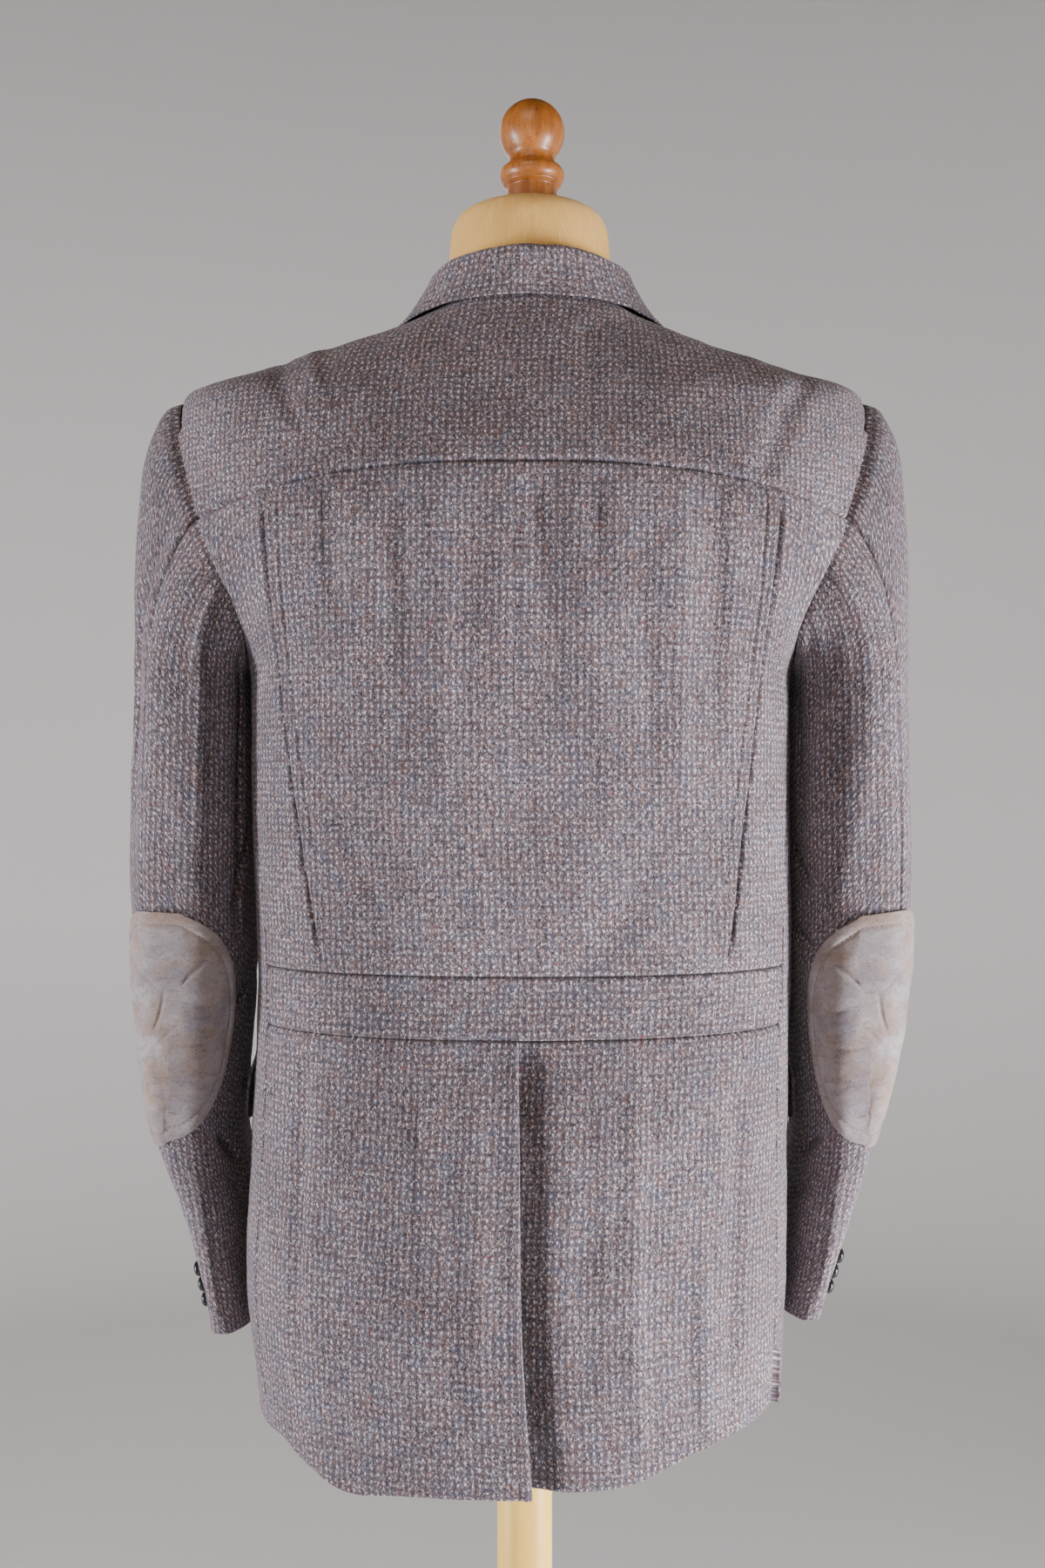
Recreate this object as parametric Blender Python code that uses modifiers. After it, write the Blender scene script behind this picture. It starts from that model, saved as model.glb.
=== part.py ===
"""Tweed hacking jacket worn by a limbless dress form on a turned wooden stand.

Metres, +Z up, the jacket's front faces -Y and the wearer's left is +X. The origin is the centre
of the stand's underside, on the pole's axis. The body of the jacket is one smooth surface,
worked out from horizontal stations, and every panel is a stretch of it between two seams.
"""

import math

import bmesh
import bpy
from mathutils import Vector

# ---------------------------------------------------------------- driving dimensions
CLOTH = 0.002            # wall of the tweed
SUEDE = 0.0013           # wall of the elbow patches
SEAM_HALF = 0.00016      # each panel's edge stands this far off its seam

HEM = 0.7035             # levels are heights at the centre back
BELT_LOW = 0.985
BELT_TOP = 1.025
SCYE_LOW = 1.235         # lowest point of the armhole
YOKE_SEAM = 1.358
SCYE_TOP = 1.405         # the ring through the shoulder points
NECK_SEAM = 1.490

STATION_COLUMNS = ("level", "side_z", "front_z", "half_width", "back_y", "front_y",
                   "mid_y", "square", "taper", "lean")
BODY_STATIONS = (
    (0.670, 0.6830, 0.6830, 0.1840, 0.159, -0.119, -0.020, 2.45, 0.08, 0.0030),
    (0.7035, 0.716, 0.716, 0.1870, 0.159, -0.121, -0.020, 2.45, 0.08, 0.0035),
    (0.800, 0.804, 0.804, 0.1935, 0.157, -0.126, -0.015, 2.40, 0.06, 0.0060),
    (0.900, 0.901, 0.901, 0.1915, 0.147, -0.124, -0.010, 2.40, 0.04, 0.0035),
    (0.985, 0.985, 0.985, 0.1905, 0.129, -0.118, -0.004, 2.40, 0.02, 0.0010),
    (1.025, 1.025, 1.025, 0.1905, 0.124, -0.117, 0.000, 2.40, 0.00, 0.0000),
    (1.120, 1.120, 1.120, 0.1915, 0.132, -0.121, 0.000, 2.40, 0.00, 0.0025),
    (1.200, 1.200, 1.200, 0.1915, 0.141, -0.127, 0.000, 2.40, 0.00, 0.0030),
    (1.235, 1.234, 1.234, 0.1930, 0.143, -0.128, 0.000, 2.45, 0.00, 0.0030),
    (1.320, 1.300, 1.300, 0.2270, 0.141, -0.119, 0.000, 2.60, 0.00, 0.0020),
    (1.358, 1.326, 1.332, 0.2340, 0.133, -0.108, 0.000, 2.60, 0.00, 0.0015),
    (1.405, 1.421, 1.382, 0.2430, 0.112, -0.088, 0.000, 2.30, 0.00, 0.0010),
    (1.427, 1.440, 1.400, 0.1980, 0.101, -0.078, 0.001, 2.20, 0.00, 0.0000),
    (1.450, 1.457, 1.418, 0.1440, 0.089, -0.068, 0.002, 2.10, 0.00, -0.0010),
    (1.472, 1.472, 1.436, 0.0980, 0.077, -0.059, 0.003, 2.05, 0.00, -0.0040),
    (1.490, 1.486, 1.454, 0.0665, 0.068, -0.052, 0.004, 2.00, 0.00, -0.0045),
)

SIDE_SEAM_COLUMNS = ("level", "degrees")
SIDE_SEAM = ((0.7035, 66.0), (0.985, 66.0), (1.120, 72.0), (1.235, 84.0))
SCYE_TOP_DEGREES = 90.0
SCYE_BACK_SPREAD = 24.0  # half opening of the armhole behind its centre line, in degrees
SCYE_FRONT_SPREAD = 25.0
SCYE_TURN = (0.0, 23.3, 46.6, 70.0, 93.3)  # turns round the armhole up to the yoke seam
SCYE_MIDDLE = 1.320       # where the armhole is widest
SWING_LOW = 1.060         # below it the fronts' columns are even
SHOULDER_STEPS = 3       # and in even steps from there to the shoulder point

PLEAT_COLUMNS = ("level", "half_width")
PLEAT_FOLD = ((0.7035, 0.100), (0.985, 0.122), (1.025, 0.132), (1.075, 0.140), (1.130, 0.147),
              (1.206, 0.156), (1.300, 0.165), (1.358, 0.167), (1.405, 0.158), (1.490, 0.048))
PLEAT_RAISE = 0.0026     # the pleat's edge over the body's surface
TUCK_DROP = 0.0026       # the side back below it

VENT_TOP_X = 0.003       # edge of the left skirt, which laps over the right one
VENT_HEM_X = -0.0085
VENT_LAP = 0.036
VENT_RAISE = 0.0022
CENTRE_SEAM_X = 0.004

HEM_COLUMNS = ("degrees", "left", "right")   # how far the hem hangs off its level, by turn
HEM_SHIFT = ((0.0, 0.0, 0.003), (20.0, -0.004, 0.004), (35.0, -0.012, 0.013), (47.0, -0.006, 0.015),
             (57.0, 0.002, 0.015), (70.0, -0.003, 0.015), (90.0, -0.004, 0.012), (180.0, 0.0, 0.004))
HEM_REACH = 0.800

FOLD_COLUMNS = ("x_high", "high", "x_low", "low", "half_width", "depth")   # soft upright folds behind
FOLDS = (
    (0.1195, 1.354, 0.1180, 1.235, 0.013, 0.0018),
    (0.0780, 1.354, 0.0690, 1.160, 0.018, 0.0026),
    (0.0330, 1.330, 0.0310, 1.200, 0.014, 0.0010),
    (-0.0060, 1.354, -0.0260, 1.190, 0.017, 0.0024),
    (-0.0440, 1.354, -0.0480, 1.280, 0.014, 0.0016),
    (-0.0690, 1.320, -0.0780, 1.150, 0.017, 0.0020),
    (-0.1150, 1.354, -0.1175, 1.130, 0.018, 0.0028),
    (0.0990, 0.985, 0.1020, 0.600, 0.045, 0.0032),
    (-0.0950, 0.930, -0.1040, 0.600, 0.040, 0.0022),
)
FOLD_STARTS = 0.14       # share of a fold's length in which it deepens, and fades out
FOLD_FADES = 0.55

BREAK = 1.130            # where the lapels start to roll
FRONT_LAP = 0.018        # each front passes the centre line by this much
ROLL_NECK_X = 0.0615
CUTAWAY_START = 0.860
CUTAWAY_X = 0.052
CUTAWAY_RISE = 0.030

LAPEL_WIDTH = 0.086
LAPEL_TIP = 1.378
LAPEL_REST = 0.0008      # the lapels' edges lie this close on the fronts
LAPEL_PUFF = 0.0012
GORGE = 1.450

SLEEVE_COLUMNS = ("z", "outer_x", "inner_x", "mid_y", "half_depth", "twist", "drift")
LEFT_SLEEVE = (
    (1.213, 0.2775, 0.1970, -0.003, 0.078, 0.0, 0.0),
    (1.150, 0.2808, 0.1972, -0.005, 0.077, 0.0, 0.0),
    (1.087, 0.2820, 0.1975, -0.007, 0.074, 0.0, 0.0),
    (1.020, 0.2790, 0.2000, -0.010, 0.071, 1.0, 0.0),
    (0.952, 0.2735, 0.2070, -0.016, 0.069, 3.0, 5.0),
    (0.900, 0.2650, 0.2080, -0.026, 0.067, 5.0, 10.0),
    (0.850, 0.2480, 0.2030, -0.039, 0.065, 7.0, 16.0),
    (0.800, 0.2350, 0.1985, -0.053, 0.064, 9.0, 22.0),
    (0.750, 0.2275, 0.1925, -0.066, 0.063, 10.0, 26.0),
)
RIGHT_SLEEVE = (
    (1.213, 0.2720, 0.1915, -0.003, 0.078, 0.0, 0.0),
    (1.150, 0.2745, 0.1915, -0.005, 0.077, 0.0, 0.0),
    (1.087, 0.2760, 0.1920, -0.007, 0.074, 0.0, 0.0),
    (1.020, 0.2740, 0.1950, -0.010, 0.071, 1.0, 0.0),
    (0.952, 0.2645, 0.2010, -0.016, 0.069, 3.0, 5.0),
    (0.900, 0.2500, 0.2005, -0.026, 0.067, 5.0, 10.0),
    (0.850, 0.2375, 0.1950, -0.039, 0.065, 7.0, 16.0),
    (0.805, 0.2250, 0.1890, -0.053, 0.064, 9.0, 22.0),
    (0.760, 0.2150, 0.1805, -0.066, 0.063, 10.0, 26.0),
)
SLEEVE_FOLD_COLUMNS = ("turn", "half_turn", "high", "low", "depth")   # creases along a sleeve
LEFT_SLEEVE_FOLDS = (
    (128.0, 30.0, 1.370, 1.020, 0.0060),
    (64.0, 24.0, 1.290, 1.080, 0.0030),
    (30.0, 26.0, 1.000, 0.800, 0.0030),
)
RIGHT_SLEEVE_FOLDS = (
    (70.0, 26.0, 1.310, 1.090, 0.0036),
    (126.0, 26.0, 1.330, 1.120, 0.0024),
    (34.0, 26.0, 1.010, 0.830, 0.0030),
)
CAP_ROWS = 5
SLEEVE_ROWS = 17
CAP_LEAVE = 0.62         # how strongly the sleeve head leaves the armhole outwards
CAP_LAND = 1.15
HINDARM = 5              # column of the hindarm seam, and of the forearm seam
FOREARM = -3

ELBOW_TURN = (28.0, 46.6, 70.0, 93.3, 116.6, 137.7, 158.9, 172.0)
ELBOW_Z = 0.980
ELBOW_HALF_HEIGHT = 0.0825
ELBOW_LIFT = 0.0011
ELBOW_ROWS = 6

POCKET_FIRST = 2         # front columns that the pocket spans
POCKET_LAST = 8
POCKET_LOW = 0.790
POCKET_TOP = 0.940
FLAP_LOW = 0.903
FLAP_TOP = 0.957
POCKET_LIFT = 0.0030
FLAP_REST = 0.0026        # its top edge, sewn down over the pocket's mouth
FLAP_STEP = 0.0034       # where it passes over the pocket
FLAP_FLARE = 0.0030      # and at its free edge
FLAP_ROWS = 3

NECK_X = -0.0035
CAP_TOP = 1.5645
FORM_LOW = 0.820
POLE_RADIUS = 0.0198
BASE_RADIUS = 0.185
BASE_HEIGHT = 0.034
FINIAL_X = -0.0052

COLUMNS_CENTRE = 9       # centre back to the pleat fold
COLUMNS_SIDE = 3         # pleat fold to the side seam
COLUMNS_FRONT = 10
LEVELS_SKIRT = (0.7035, 0.725, 0.758, 0.790, 0.828, 0.866, 0.903, 0.945, 0.985)
LEVELS_WAIST = (1.025, 1.055, 1.085, 1.118, 1.150, 1.180, 1.208, 1.235)
LEVELS_SHOULDER = (1.405, 1.427, 1.450, 1.471, 1.490)

TWEED = (0.255, 0.225, 0.245, 1.0)
SUEDE_COLOUR = (0.21, 0.19, 0.185, 1.0)
LINEN = (0.55, 0.45, 0.33, 1.0)
HORN = (0.012, 0.012, 0.014, 1.0)
FINIAL_WOOD = (0.42, 0.17, 0.045, 1.0)
POLE_WOOD = (0.62, 0.42, 0.24, 1.0)


# ---------------------------------------------------------------- tables
def hermite(a, b, slope_a, slope_b, t):
    """The cubic from a to b with the given end slopes."""
    s = 1.0 - t
    return a * s * s * (1 + 2 * t) + b * t * t * (3 - 2 * t) + slope_a * t * s * s - slope_b * t * t * s


def look_up(columns, rows, at):
    """Every column of a table at a value of its first column, on a smooth curve through the rows."""
    keys = [row[0] for row in rows]
    flip = keys[0] > keys[-1]
    if flip:
        rows = rows[::-1]
        keys = keys[::-1]
    at = min(max(at, keys[0]), keys[-1])
    k = 0
    while k < len(keys) - 2 and at > keys[k + 1]:
        k += 1
    span = keys[k + 1] - keys[k]
    t = (at - keys[k]) / span
    found = {columns[0]: at}
    for c in range(1, len(columns)):
        slopes = []
        for i in (k, k + 1):
            lower = max(i - 1, 0)
            upper = min(i + 1, len(keys) - 1)
            slopes.append((rows[upper][c] - rows[lower][c]) / (keys[upper] - keys[lower]) * span)
        found[columns[c]] = hermite(rows[k][c], rows[k + 1][c], slopes[0], slopes[1], t)
    return found


def smooth(t):
    t = min(max(t, 0.0), 1.0)
    return t * t * (3 - 2 * t)


def mix(a, b, t):
    return a + (b - a) * t


# ---------------------------------------------------------------- the body's surface
def fold_depth(x, level):
    """How far the cloth of the back sinks into its soft upright folds."""
    depth = 0.0
    for row in FOLDS:
        fold = dict(zip(FOLD_COLUMNS, row))
        share = (fold["high"] - level) / (fold["high"] - fold["low"])
        off = (x - mix(fold["x_high"], fold["x_low"], share)) / fold["half_width"]
        if 0.0 < share < 1.0 and abs(off) < 1.0:
            held = smooth(share / FOLD_STARTS) * smooth((1.0 - share) / FOLD_FADES)
            depth += fold["depth"] * held * (1.0 - off ** 2) ** 2
    return depth


def body_point(turn, level, side):
    """A point of the cloth's outer face. turn is in radians from the centre back."""
    row = look_up(STATION_COLUMNS, BODY_STATIONS, level)
    across = math.sin(turn)
    along = math.cos(turn)
    power = 2.0 / row["square"]
    x = row["half_width"] * abs(across) ** power * math.copysign(1.0, across)
    x *= 1.0 - row["taper"] * max(along, 0.0) ** 2
    end_y = row["back_y"] if along >= 0 else row["front_y"]
    end_z = level if along >= 0 else row["front_z"]
    y = row["mid_y"] + (end_y - row["mid_y"]) * abs(along) ** power
    z = row["side_z"] + (end_z - row["side_z"]) * along ** 2
    if along > 0:
        y -= fold_depth(side * x, level) * along ** 0.5
    return Vector((side * x + row["lean"], y, z))


def turn_at(x, level, front=False):
    """The turn at which the body's surface is x from its centre line."""
    row = look_up(STATION_COLUMNS, BODY_STATIONS, level)
    share = min(abs(x) / row["half_width"], 1.0)
    turn = math.asin(share ** (row["square"] / 2.0))
    if row["taper"] and not front:
        for _ in range(6):
            wide = share / (1.0 - row["taper"] * math.cos(turn) ** 2)
            turn = math.asin(min(wide, 1.0) ** (row["square"] / 2.0))
    if front:
        turn = math.pi - turn
    return math.copysign(turn, x) if x < 0 and not front else turn


def normal_of(point, u, v, step_u, step_v):
    """The unit normal of a surface from its slopes either way."""
    along_u = point(u + step_u, v) - point(u - step_u, v)
    along_v = point(u, v + step_v) - point(u, v - step_v)
    return along_u.cross(along_v).normalized()


def body_lifted(turn, level, side, lift):
    """The body's surface moved out along its normal."""
    normal = normal_of(lambda t, h: body_point(t, h, side), turn, level, 0.004, 0.0015)
    return body_point(turn, level, side) - normal * (lift * side)


# ---------------------------------------------------------------- seams on the body
def scye_turns():
    """Turns round the armhole from its lowest point to the shoulder point, shared by all its pieces."""
    low, high = SCYE_LOW, SCYE_TOP
    centre = (low + high) / 2
    yoke_turn = math.acos((centre - YOKE_SEAM) / ((high - low) / 2))
    turns = [math.radians(t) for t in SCYE_TURN]
    for k in range(SHOULDER_STEPS + 1):
        turns.append(mix(yoke_turn, math.pi, k / SHOULDER_STEPS))
    return turns


def scye_level(turn):
    return (SCYE_LOW + SCYE_TOP) / 2 - (SCYE_TOP - SCYE_LOW) / 2 * math.cos(turn)


def side_edge(level, back):
    """Turn of the side seam, then of the armhole's edge, then of the shoulder seam."""
    if level <= SCYE_LOW:
        return math.radians(look_up(SIDE_SEAM_COLUMNS, SIDE_SEAM, level)["degrees"])
    if level >= SCYE_TOP:
        return math.radians(SCYE_TOP_DEGREES)
    share = (level - SCYE_LOW) / (SCYE_TOP - SCYE_LOW)
    centre = mix(SIDE_SEAM[-1][1], SCYE_TOP_DEGREES, share)
    opening = math.sqrt(max(1.0 - (2 * share - 1) ** 2, 0.0))
    spread = -SCYE_BACK_SPREAD if back else SCYE_FRONT_SPREAD
    return math.radians(centre + spread * opening)


def pleat_turn(level):
    return turn_at(look_up(PLEAT_COLUMNS, PLEAT_FOLD, level)["half_width"], level)


def roll_x(level):
    """Distance of the front edge, and of the roll line above the break, from the centre line."""
    if level >= BREAK:
        return mix(0.0, ROLL_NECK_X, ((level - BREAK) / (NECK_SEAM - BREAK)) ** 0.85)
    return 0.0


def front_edge(level, side):
    """Turn at which a front ends. It passes the centre line below the break."""
    if level >= BREAK:
        eased = smooth((level - BREAK) / 0.06)
        return turn_at(roll_x(level), level, True) + FRONT_LAP / 0.12 * (1 - eased)
    lap = FRONT_LAP
    if level < CUTAWAY_START:
        lap -= (FRONT_LAP + CUTAWAY_X) * ((CUTAWAY_START - level) / (CUTAWAY_START - HEM)) ** 2.2
    if lap >= 0:
        return 2 * math.pi - turn_at(lap, level, True)
    return turn_at(-lap, level, True)


def all_levels():
    """Rows shared by every panel of the body, so that both sides of a seam have the same points."""
    armhole = [scye_level(t) for t in scye_turns()]
    return list(LEVELS_SKIRT) + list(LEVELS_WAIST[:-1]) + armhole + list(LEVELS_SHOULDER[1:])


def levels_between(low, high):
    return [h for h in all_levels() if low - 1e-6 <= h <= high + 1e-6]


# ---------------------------------------------------------------- walls of cloth
def shift_edges(grid, sides):
    """Moves the outermost points of a grid inwards, by half a seam, on the named sides."""
    rows = len(grid)
    cols = len(grid[0])
    moved = [[p.copy() for p in row] for row in grid]
    for i in range(rows):
        if "left" in sides:
            moved[i][0] += (grid[i][1] - grid[i][0]).normalized() * SEAM_HALF
        if "right" in sides:
            moved[i][-1] += (grid[i][-2] - grid[i][-1]).normalized() * SEAM_HALF
    for j in range(cols):
        if "low" in sides:
            moved[0][j] += (grid[1][j] - grid[0][j]).normalized() * SEAM_HALF
        if "high" in sides:
            moved[-1][j] += (grid[-2][j] - grid[-1][j]).normalized() * SEAM_HALF
    return moved


def close_wall(name, outer, inner, material, collection, mirrored=False):
    """A closed wall between two grids of points, with its four rims."""
    rows = len(outer)
    cols = len(outer[0])
    mesh = bpy.data.meshes.new(name)
    bm = bmesh.new()
    front = [[bm.verts.new(p) for p in row] for row in outer]
    back = [[bm.verts.new(p) for p in row] for row in inner]

    def quad(a, b, c, d):
        for face in ((a, b, c), (a, c, d)):
            bm.faces.new(face[::-1] if mirrored else face)

    for i in range(rows - 1):
        for j in range(cols - 1):
            quad(front[i][j], front[i][j + 1], front[i + 1][j + 1], front[i + 1][j])
            quad(back[i + 1][j], back[i + 1][j + 1], back[i][j + 1], back[i][j])
    for j in range(cols - 1):
        quad(back[0][j], back[0][j + 1], front[0][j + 1], front[0][j])
        quad(front[-1][j], front[-1][j + 1], back[-1][j + 1], back[-1][j])
    for i in range(rows - 1):
        quad(front[i][0], front[i + 1][0], back[i + 1][0], back[i][0])
        quad(back[i][-1], back[i + 1][-1], front[i + 1][-1], front[i][-1])
    bm.to_mesh(mesh)
    bm.free()
    mesh.shade_smooth()
    mesh.set_sharp_from_angle(angle=math.radians(50))
    mesh.materials.append(material)
    obj = bpy.data.objects.new(name, mesh)
    collection.objects.link(obj)
    return obj


def body_panel(name, side, turns_of, lift_of, levels, sides, material, collection,
               thickness=CLOTH, level_of=None):
    """A panel of the body. turns_of(level) gives its columns, lift_of(j, level) how far each stands off."""
    outer = []
    inner = []
    for level in levels:
        outer_row = []
        inner_row = []
        for j, turn in enumerate(turns_of(level)):
            height = level_of(j, turn, level, side) if level_of else level
            if level_of:
                turn = turns_of(height)[j]
            lift = lift_of(j, height)
            outer_row.append(body_lifted(turn, height, side, lift))
            inner_row.append(body_lifted(turn, height, side, lift - thickness))
        outer.append(outer_row)
        inner.append(inner_row)
    outer = shift_edges(outer, sides)
    inner = shift_edges(inner, sides)
    return close_wall(name, outer, inner, material, collection, mirrored=side > 0)


# ---------------------------------------------------------------- columns of the panels
def centre_turns(level, side):
    """Columns from the centre-back seam to the pleat fold."""
    start = turn_at(CENTRE_SEAM_X * side, level)
    fold = pleat_turn(level)
    return [mix(start, fold, k / COLUMNS_CENTRE) for k in range(COLUMNS_CENTRE + 1)]


def side_turns(level, tuck):
    """Columns from the pleat fold to the side seam or armhole, with the tucked ones first."""
    fold = pleat_turn(level)
    edge = side_edge(level, True)
    turns = [mix(fold, edge, k / COLUMNS_SIDE) for k in range(COLUMNS_SIDE + 1)]
    if tuck:
        step = (turns[1] - fold) * 0.16
        turns = [fold - (fold - turn_at(0, level)) / COLUMNS_CENTRE] + [fold, fold + step] + turns[1:]
    return turns


def back_turns(level, side):
    return centre_turns(level, side) + side_turns(level, False)[1:]


def front_turns(level, side):
    """Columns from the side seam or armhole to the front edge. The inner ones bend gently."""
    start = side_edge(level, False)
    end = front_edge(level, side)
    swing = smooth((level - SWING_LOW) / (SCYE_MIDDLE - SWING_LOW))
    soft = start
    if level < SCYE_MIDDLE:
        soft = mix(start, side_edge(SCYE_MIDDLE, False), swing)
    turns = [mix(soft, end, k / COLUMNS_FRONT) for k in range(COLUMNS_FRONT + 1)]
    return [start, mix(start, turns[2], 0.5)] + turns[2:]


def ease_in(level, low, high, reach=0.05):
    """One in the middle of a stretch of levels, falling towards both of its ends."""
    return 0.35 + 0.65 * smooth(min(level - low, high - level) / reach)


# ---------------------------------------------------------------- back and fronts
def build_back(tweed, jacket):
    rows = levels_between(BELT_TOP, YOKE_SEAM)
    yoke_rows = levels_between(YOKE_SEAM, NECK_SEAM)
    for side, word in ((1, "left"), (-1, "right")):
        def centre_lift(j, level):
            near = smooth((j - COLUMNS_CENTRE + 2) / 2)
            return PLEAT_RAISE * near * ease_in(level, BELT_TOP, YOKE_SEAM)

        def side_lift(j, level):
            return -TUCK_DROP if j < 3 else -TUCK_DROP * 0.3 if j == 3 else 0.0

        body_panel("back_" + word, side, lambda h, s=side: centre_turns(h, s), centre_lift,
                   rows, "left low high", tweed, jacket)
        body_panel("side_back_" + word, side, lambda h: side_turns(h, True), side_lift,
                   rows, "right low high", tweed, jacket)
    build_across("back_yoke", yoke_rows, tweed, jacket)


def build_across(name, rows, tweed, jacket):
    """A panel that runs from one side seam or armhole to the other, through the centre back."""
    outer = []
    inner = []
    for level in rows:
        right = [(-1, t) for t in back_turns(level, -1)[::-1]]
        left = [(1, t) for t in back_turns(level, 1)[1:]]
        outer.append([body_lifted(t, level, s, 0.0) for s, t in right + left])
        inner.append([body_lifted(t, level, s, -CLOTH) for s, t in right + left])
    outer = shift_edges(outer, "left right low high")
    inner = shift_edges(inner, "left right low high")
    close_wall(name, outer, inner, tweed, jacket, mirrored=True)


def vent_turn(level, side):
    """The lapping edge of the left skirt, and the hidden edge of the right one."""
    share = (BELT_LOW - level) / (BELT_LOW - HEM)
    edge = mix(VENT_TOP_X, VENT_HEM_X, share)
    if side > 0:
        return turn_at(edge, level)
    return -turn_at(edge + VENT_LAP, level)


def skirt_turns(level, side):
    start = vent_turn(level, side)
    fold = pleat_turn(level)
    edge = side_edge(level, True)
    if side > 0:
        turns = [mix(start, fold, k / COLUMNS_CENTRE) for k in range(COLUMNS_CENTRE + 1)]
    else:
        emerge = -turn_at(mix(VENT_TOP_X, VENT_HEM_X, (BELT_LOW - level) / (BELT_LOW - HEM)), level)
        turns = [start] + [mix(emerge, fold, k / COLUMNS_CENTRE) for k in range(COLUMNS_CENTRE + 1)]
    return turns + [mix(fold, edge, k / COLUMNS_SIDE) for k in range(1, COLUMNS_SIDE + 1)]


def build_skirts(tweed, jacket):
    rows = levels_between(HEM, BELT_LOW)

    def left_lift(j, level):
        return VENT_RAISE * smooth(1 - j / 2.5) * ease_in(level, 2 * HEM - BELT_LOW, BELT_LOW, 0.08)

    def right_lift(j, level):
        return -TUCK_DROP if j < 2 else -TUCK_DROP * 0.35 if j == 2 else 0.0

    def level_of(j, turn, level, side):
        return hem_level(turn, level, side)

    body_panel("skirt_left", 1, lambda h: skirt_turns(h, 1), left_lift, rows,
               "right high", tweed, jacket, level_of=level_of)
    body_panel("skirt_right", -1, lambda h: skirt_turns(h, -1), right_lift, rows,
               "right high", tweed, jacket, level_of=level_of)
    build_across("half_belt", levels_between(BELT_LOW, BELT_TOP), tweed, jacket)


def hem_level(turn, level, side):
    """The hem hangs unevenly, and the rows just above it follow."""
    if level >= HEM_REACH:
        return level
    row = look_up(HEM_COLUMNS, HEM_SHIFT, math.degrees(abs(turn)))
    share = (level - HEM) / (HEM_REACH - HEM)
    return level + row["left" if side > 0 else "right"] * (1 - share)


def front_level(j, turn, level, side):
    """The hem of a front rises to its rounded corner, and the rows above it close up."""
    if level >= CUTAWAY_START:
        return level
    rise = CUTAWAY_RISE * (j / COLUMNS_FRONT) ** 4
    share = (level - HEM) / (CUTAWAY_START - HEM)
    return hem_level(min(turn, math.pi), level, side) + rise * (1 - share)


def front_lift(j, level, side):
    """The right front passes under the left one and its lapel rolls over both."""
    if side > 0:
        return 0.0
    under = smooth((j - COLUMNS_FRONT + 2.5) / 1.5)
    return -TUCK_DROP * 1.1 * under * (1 - smooth((level - BREAK - 0.08) / 0.05))


def build_fronts(tweed, jacket):
    rows = levels_between(HEM, NECK_SEAM)
    for side, word in ((1, "left"), (-1, "right")):
        body_panel("front_" + word, side, lambda h, s=side: front_turns(h, s),
                   lambda j, h, s=side: front_lift(j, h, s), rows, "left high", tweed, jacket,
                   level_of=front_level)


# ---------------------------------------------------------------- pockets, flaps and lapels
def pocket_panel(name, side, low_of, high, row_count, lift_of, tweed, jacket):
    """A piece on a front, made on the front's own columns, with a lower edge that may round."""
    outer = []
    inner = []
    for i in range(row_count + 1):
        outer_row = []
        inner_row = []
        for j in range(POCKET_FIRST, POCKET_LAST + 1):
            level = mix(low_of(j), high, i / row_count)
            turn = front_turns(level, side)[j]
            lift = lift_of(level) + front_lift(j, level, side)
            outer_row.append(body_lifted(turn, level, side, lift))
            inner_row.append(body_lifted(turn, level, side, lift - CLOTH))
        outer.append(outer_row)
        inner.append(inner_row)
    close_wall(name, outer, inner, tweed, jacket, mirrored=side > 0)


def flap_lift(level):
    down = (FLAP_TOP - level) / (FLAP_TOP - FLAP_LOW)
    return FLAP_REST + FLAP_STEP * smooth(down * FLAP_ROWS) + FLAP_FLARE * smooth(down)


def build_pockets(tweed, jacket):
    def rounded(low, rise):
        def low_of(j):
            if j in (POCKET_FIRST, POCKET_LAST):
                return low + rise
            return low
        return low_of

    for side, word in ((1, "left"), (-1, "right")):
        pocket_panel("pocket_" + word, side, rounded(POCKET_LOW, 0.022), POCKET_TOP, 6,
                     lambda h: POCKET_LIFT, tweed, jacket)
        pocket_panel("pocket_flap_" + word, side, rounded(FLAP_LOW, 0.009), FLAP_TOP, FLAP_ROWS,
                     flap_lift, tweed, jacket)


def build_lapels(tweed, jacket):
    """Each lapel turns over at the roll line and lies on its front, up to the gorge and its tip."""
    rows = 9
    cols = 4
    for side, word in ((1, "left"), (-1, "right")):
        outer = []
        inner = []
        for i in range(rows + 1):
            share = i / rows
            outer_row = []
            inner_row = []
            for j in range(cols + 1):
                out = j / cols
                top = mix(GORGE, LAPEL_TIP, out)
                level = mix(BREAK + 0.012, top, share)
                width = LAPEL_WIDTH * smooth(0.12 + 0.95 * share)
                x = roll_x(level) + 0.004 + width * out
                lift = CLOTH + LAPEL_REST + LAPEL_PUFF * math.sin(math.pi * min(out * 1.2, 1.0))
                turn = turn_at(x, level, True)
                outer_row.append(body_lifted(turn, level, side, lift))
                inner_row.append(body_lifted(turn, level, side, lift - CLOTH))
            outer.append(outer_row[::-1])
            inner.append(inner_row[::-1])
        close_wall("lapel_" + word, outer, inner, tweed, jacket, mirrored=side > 0)


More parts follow.
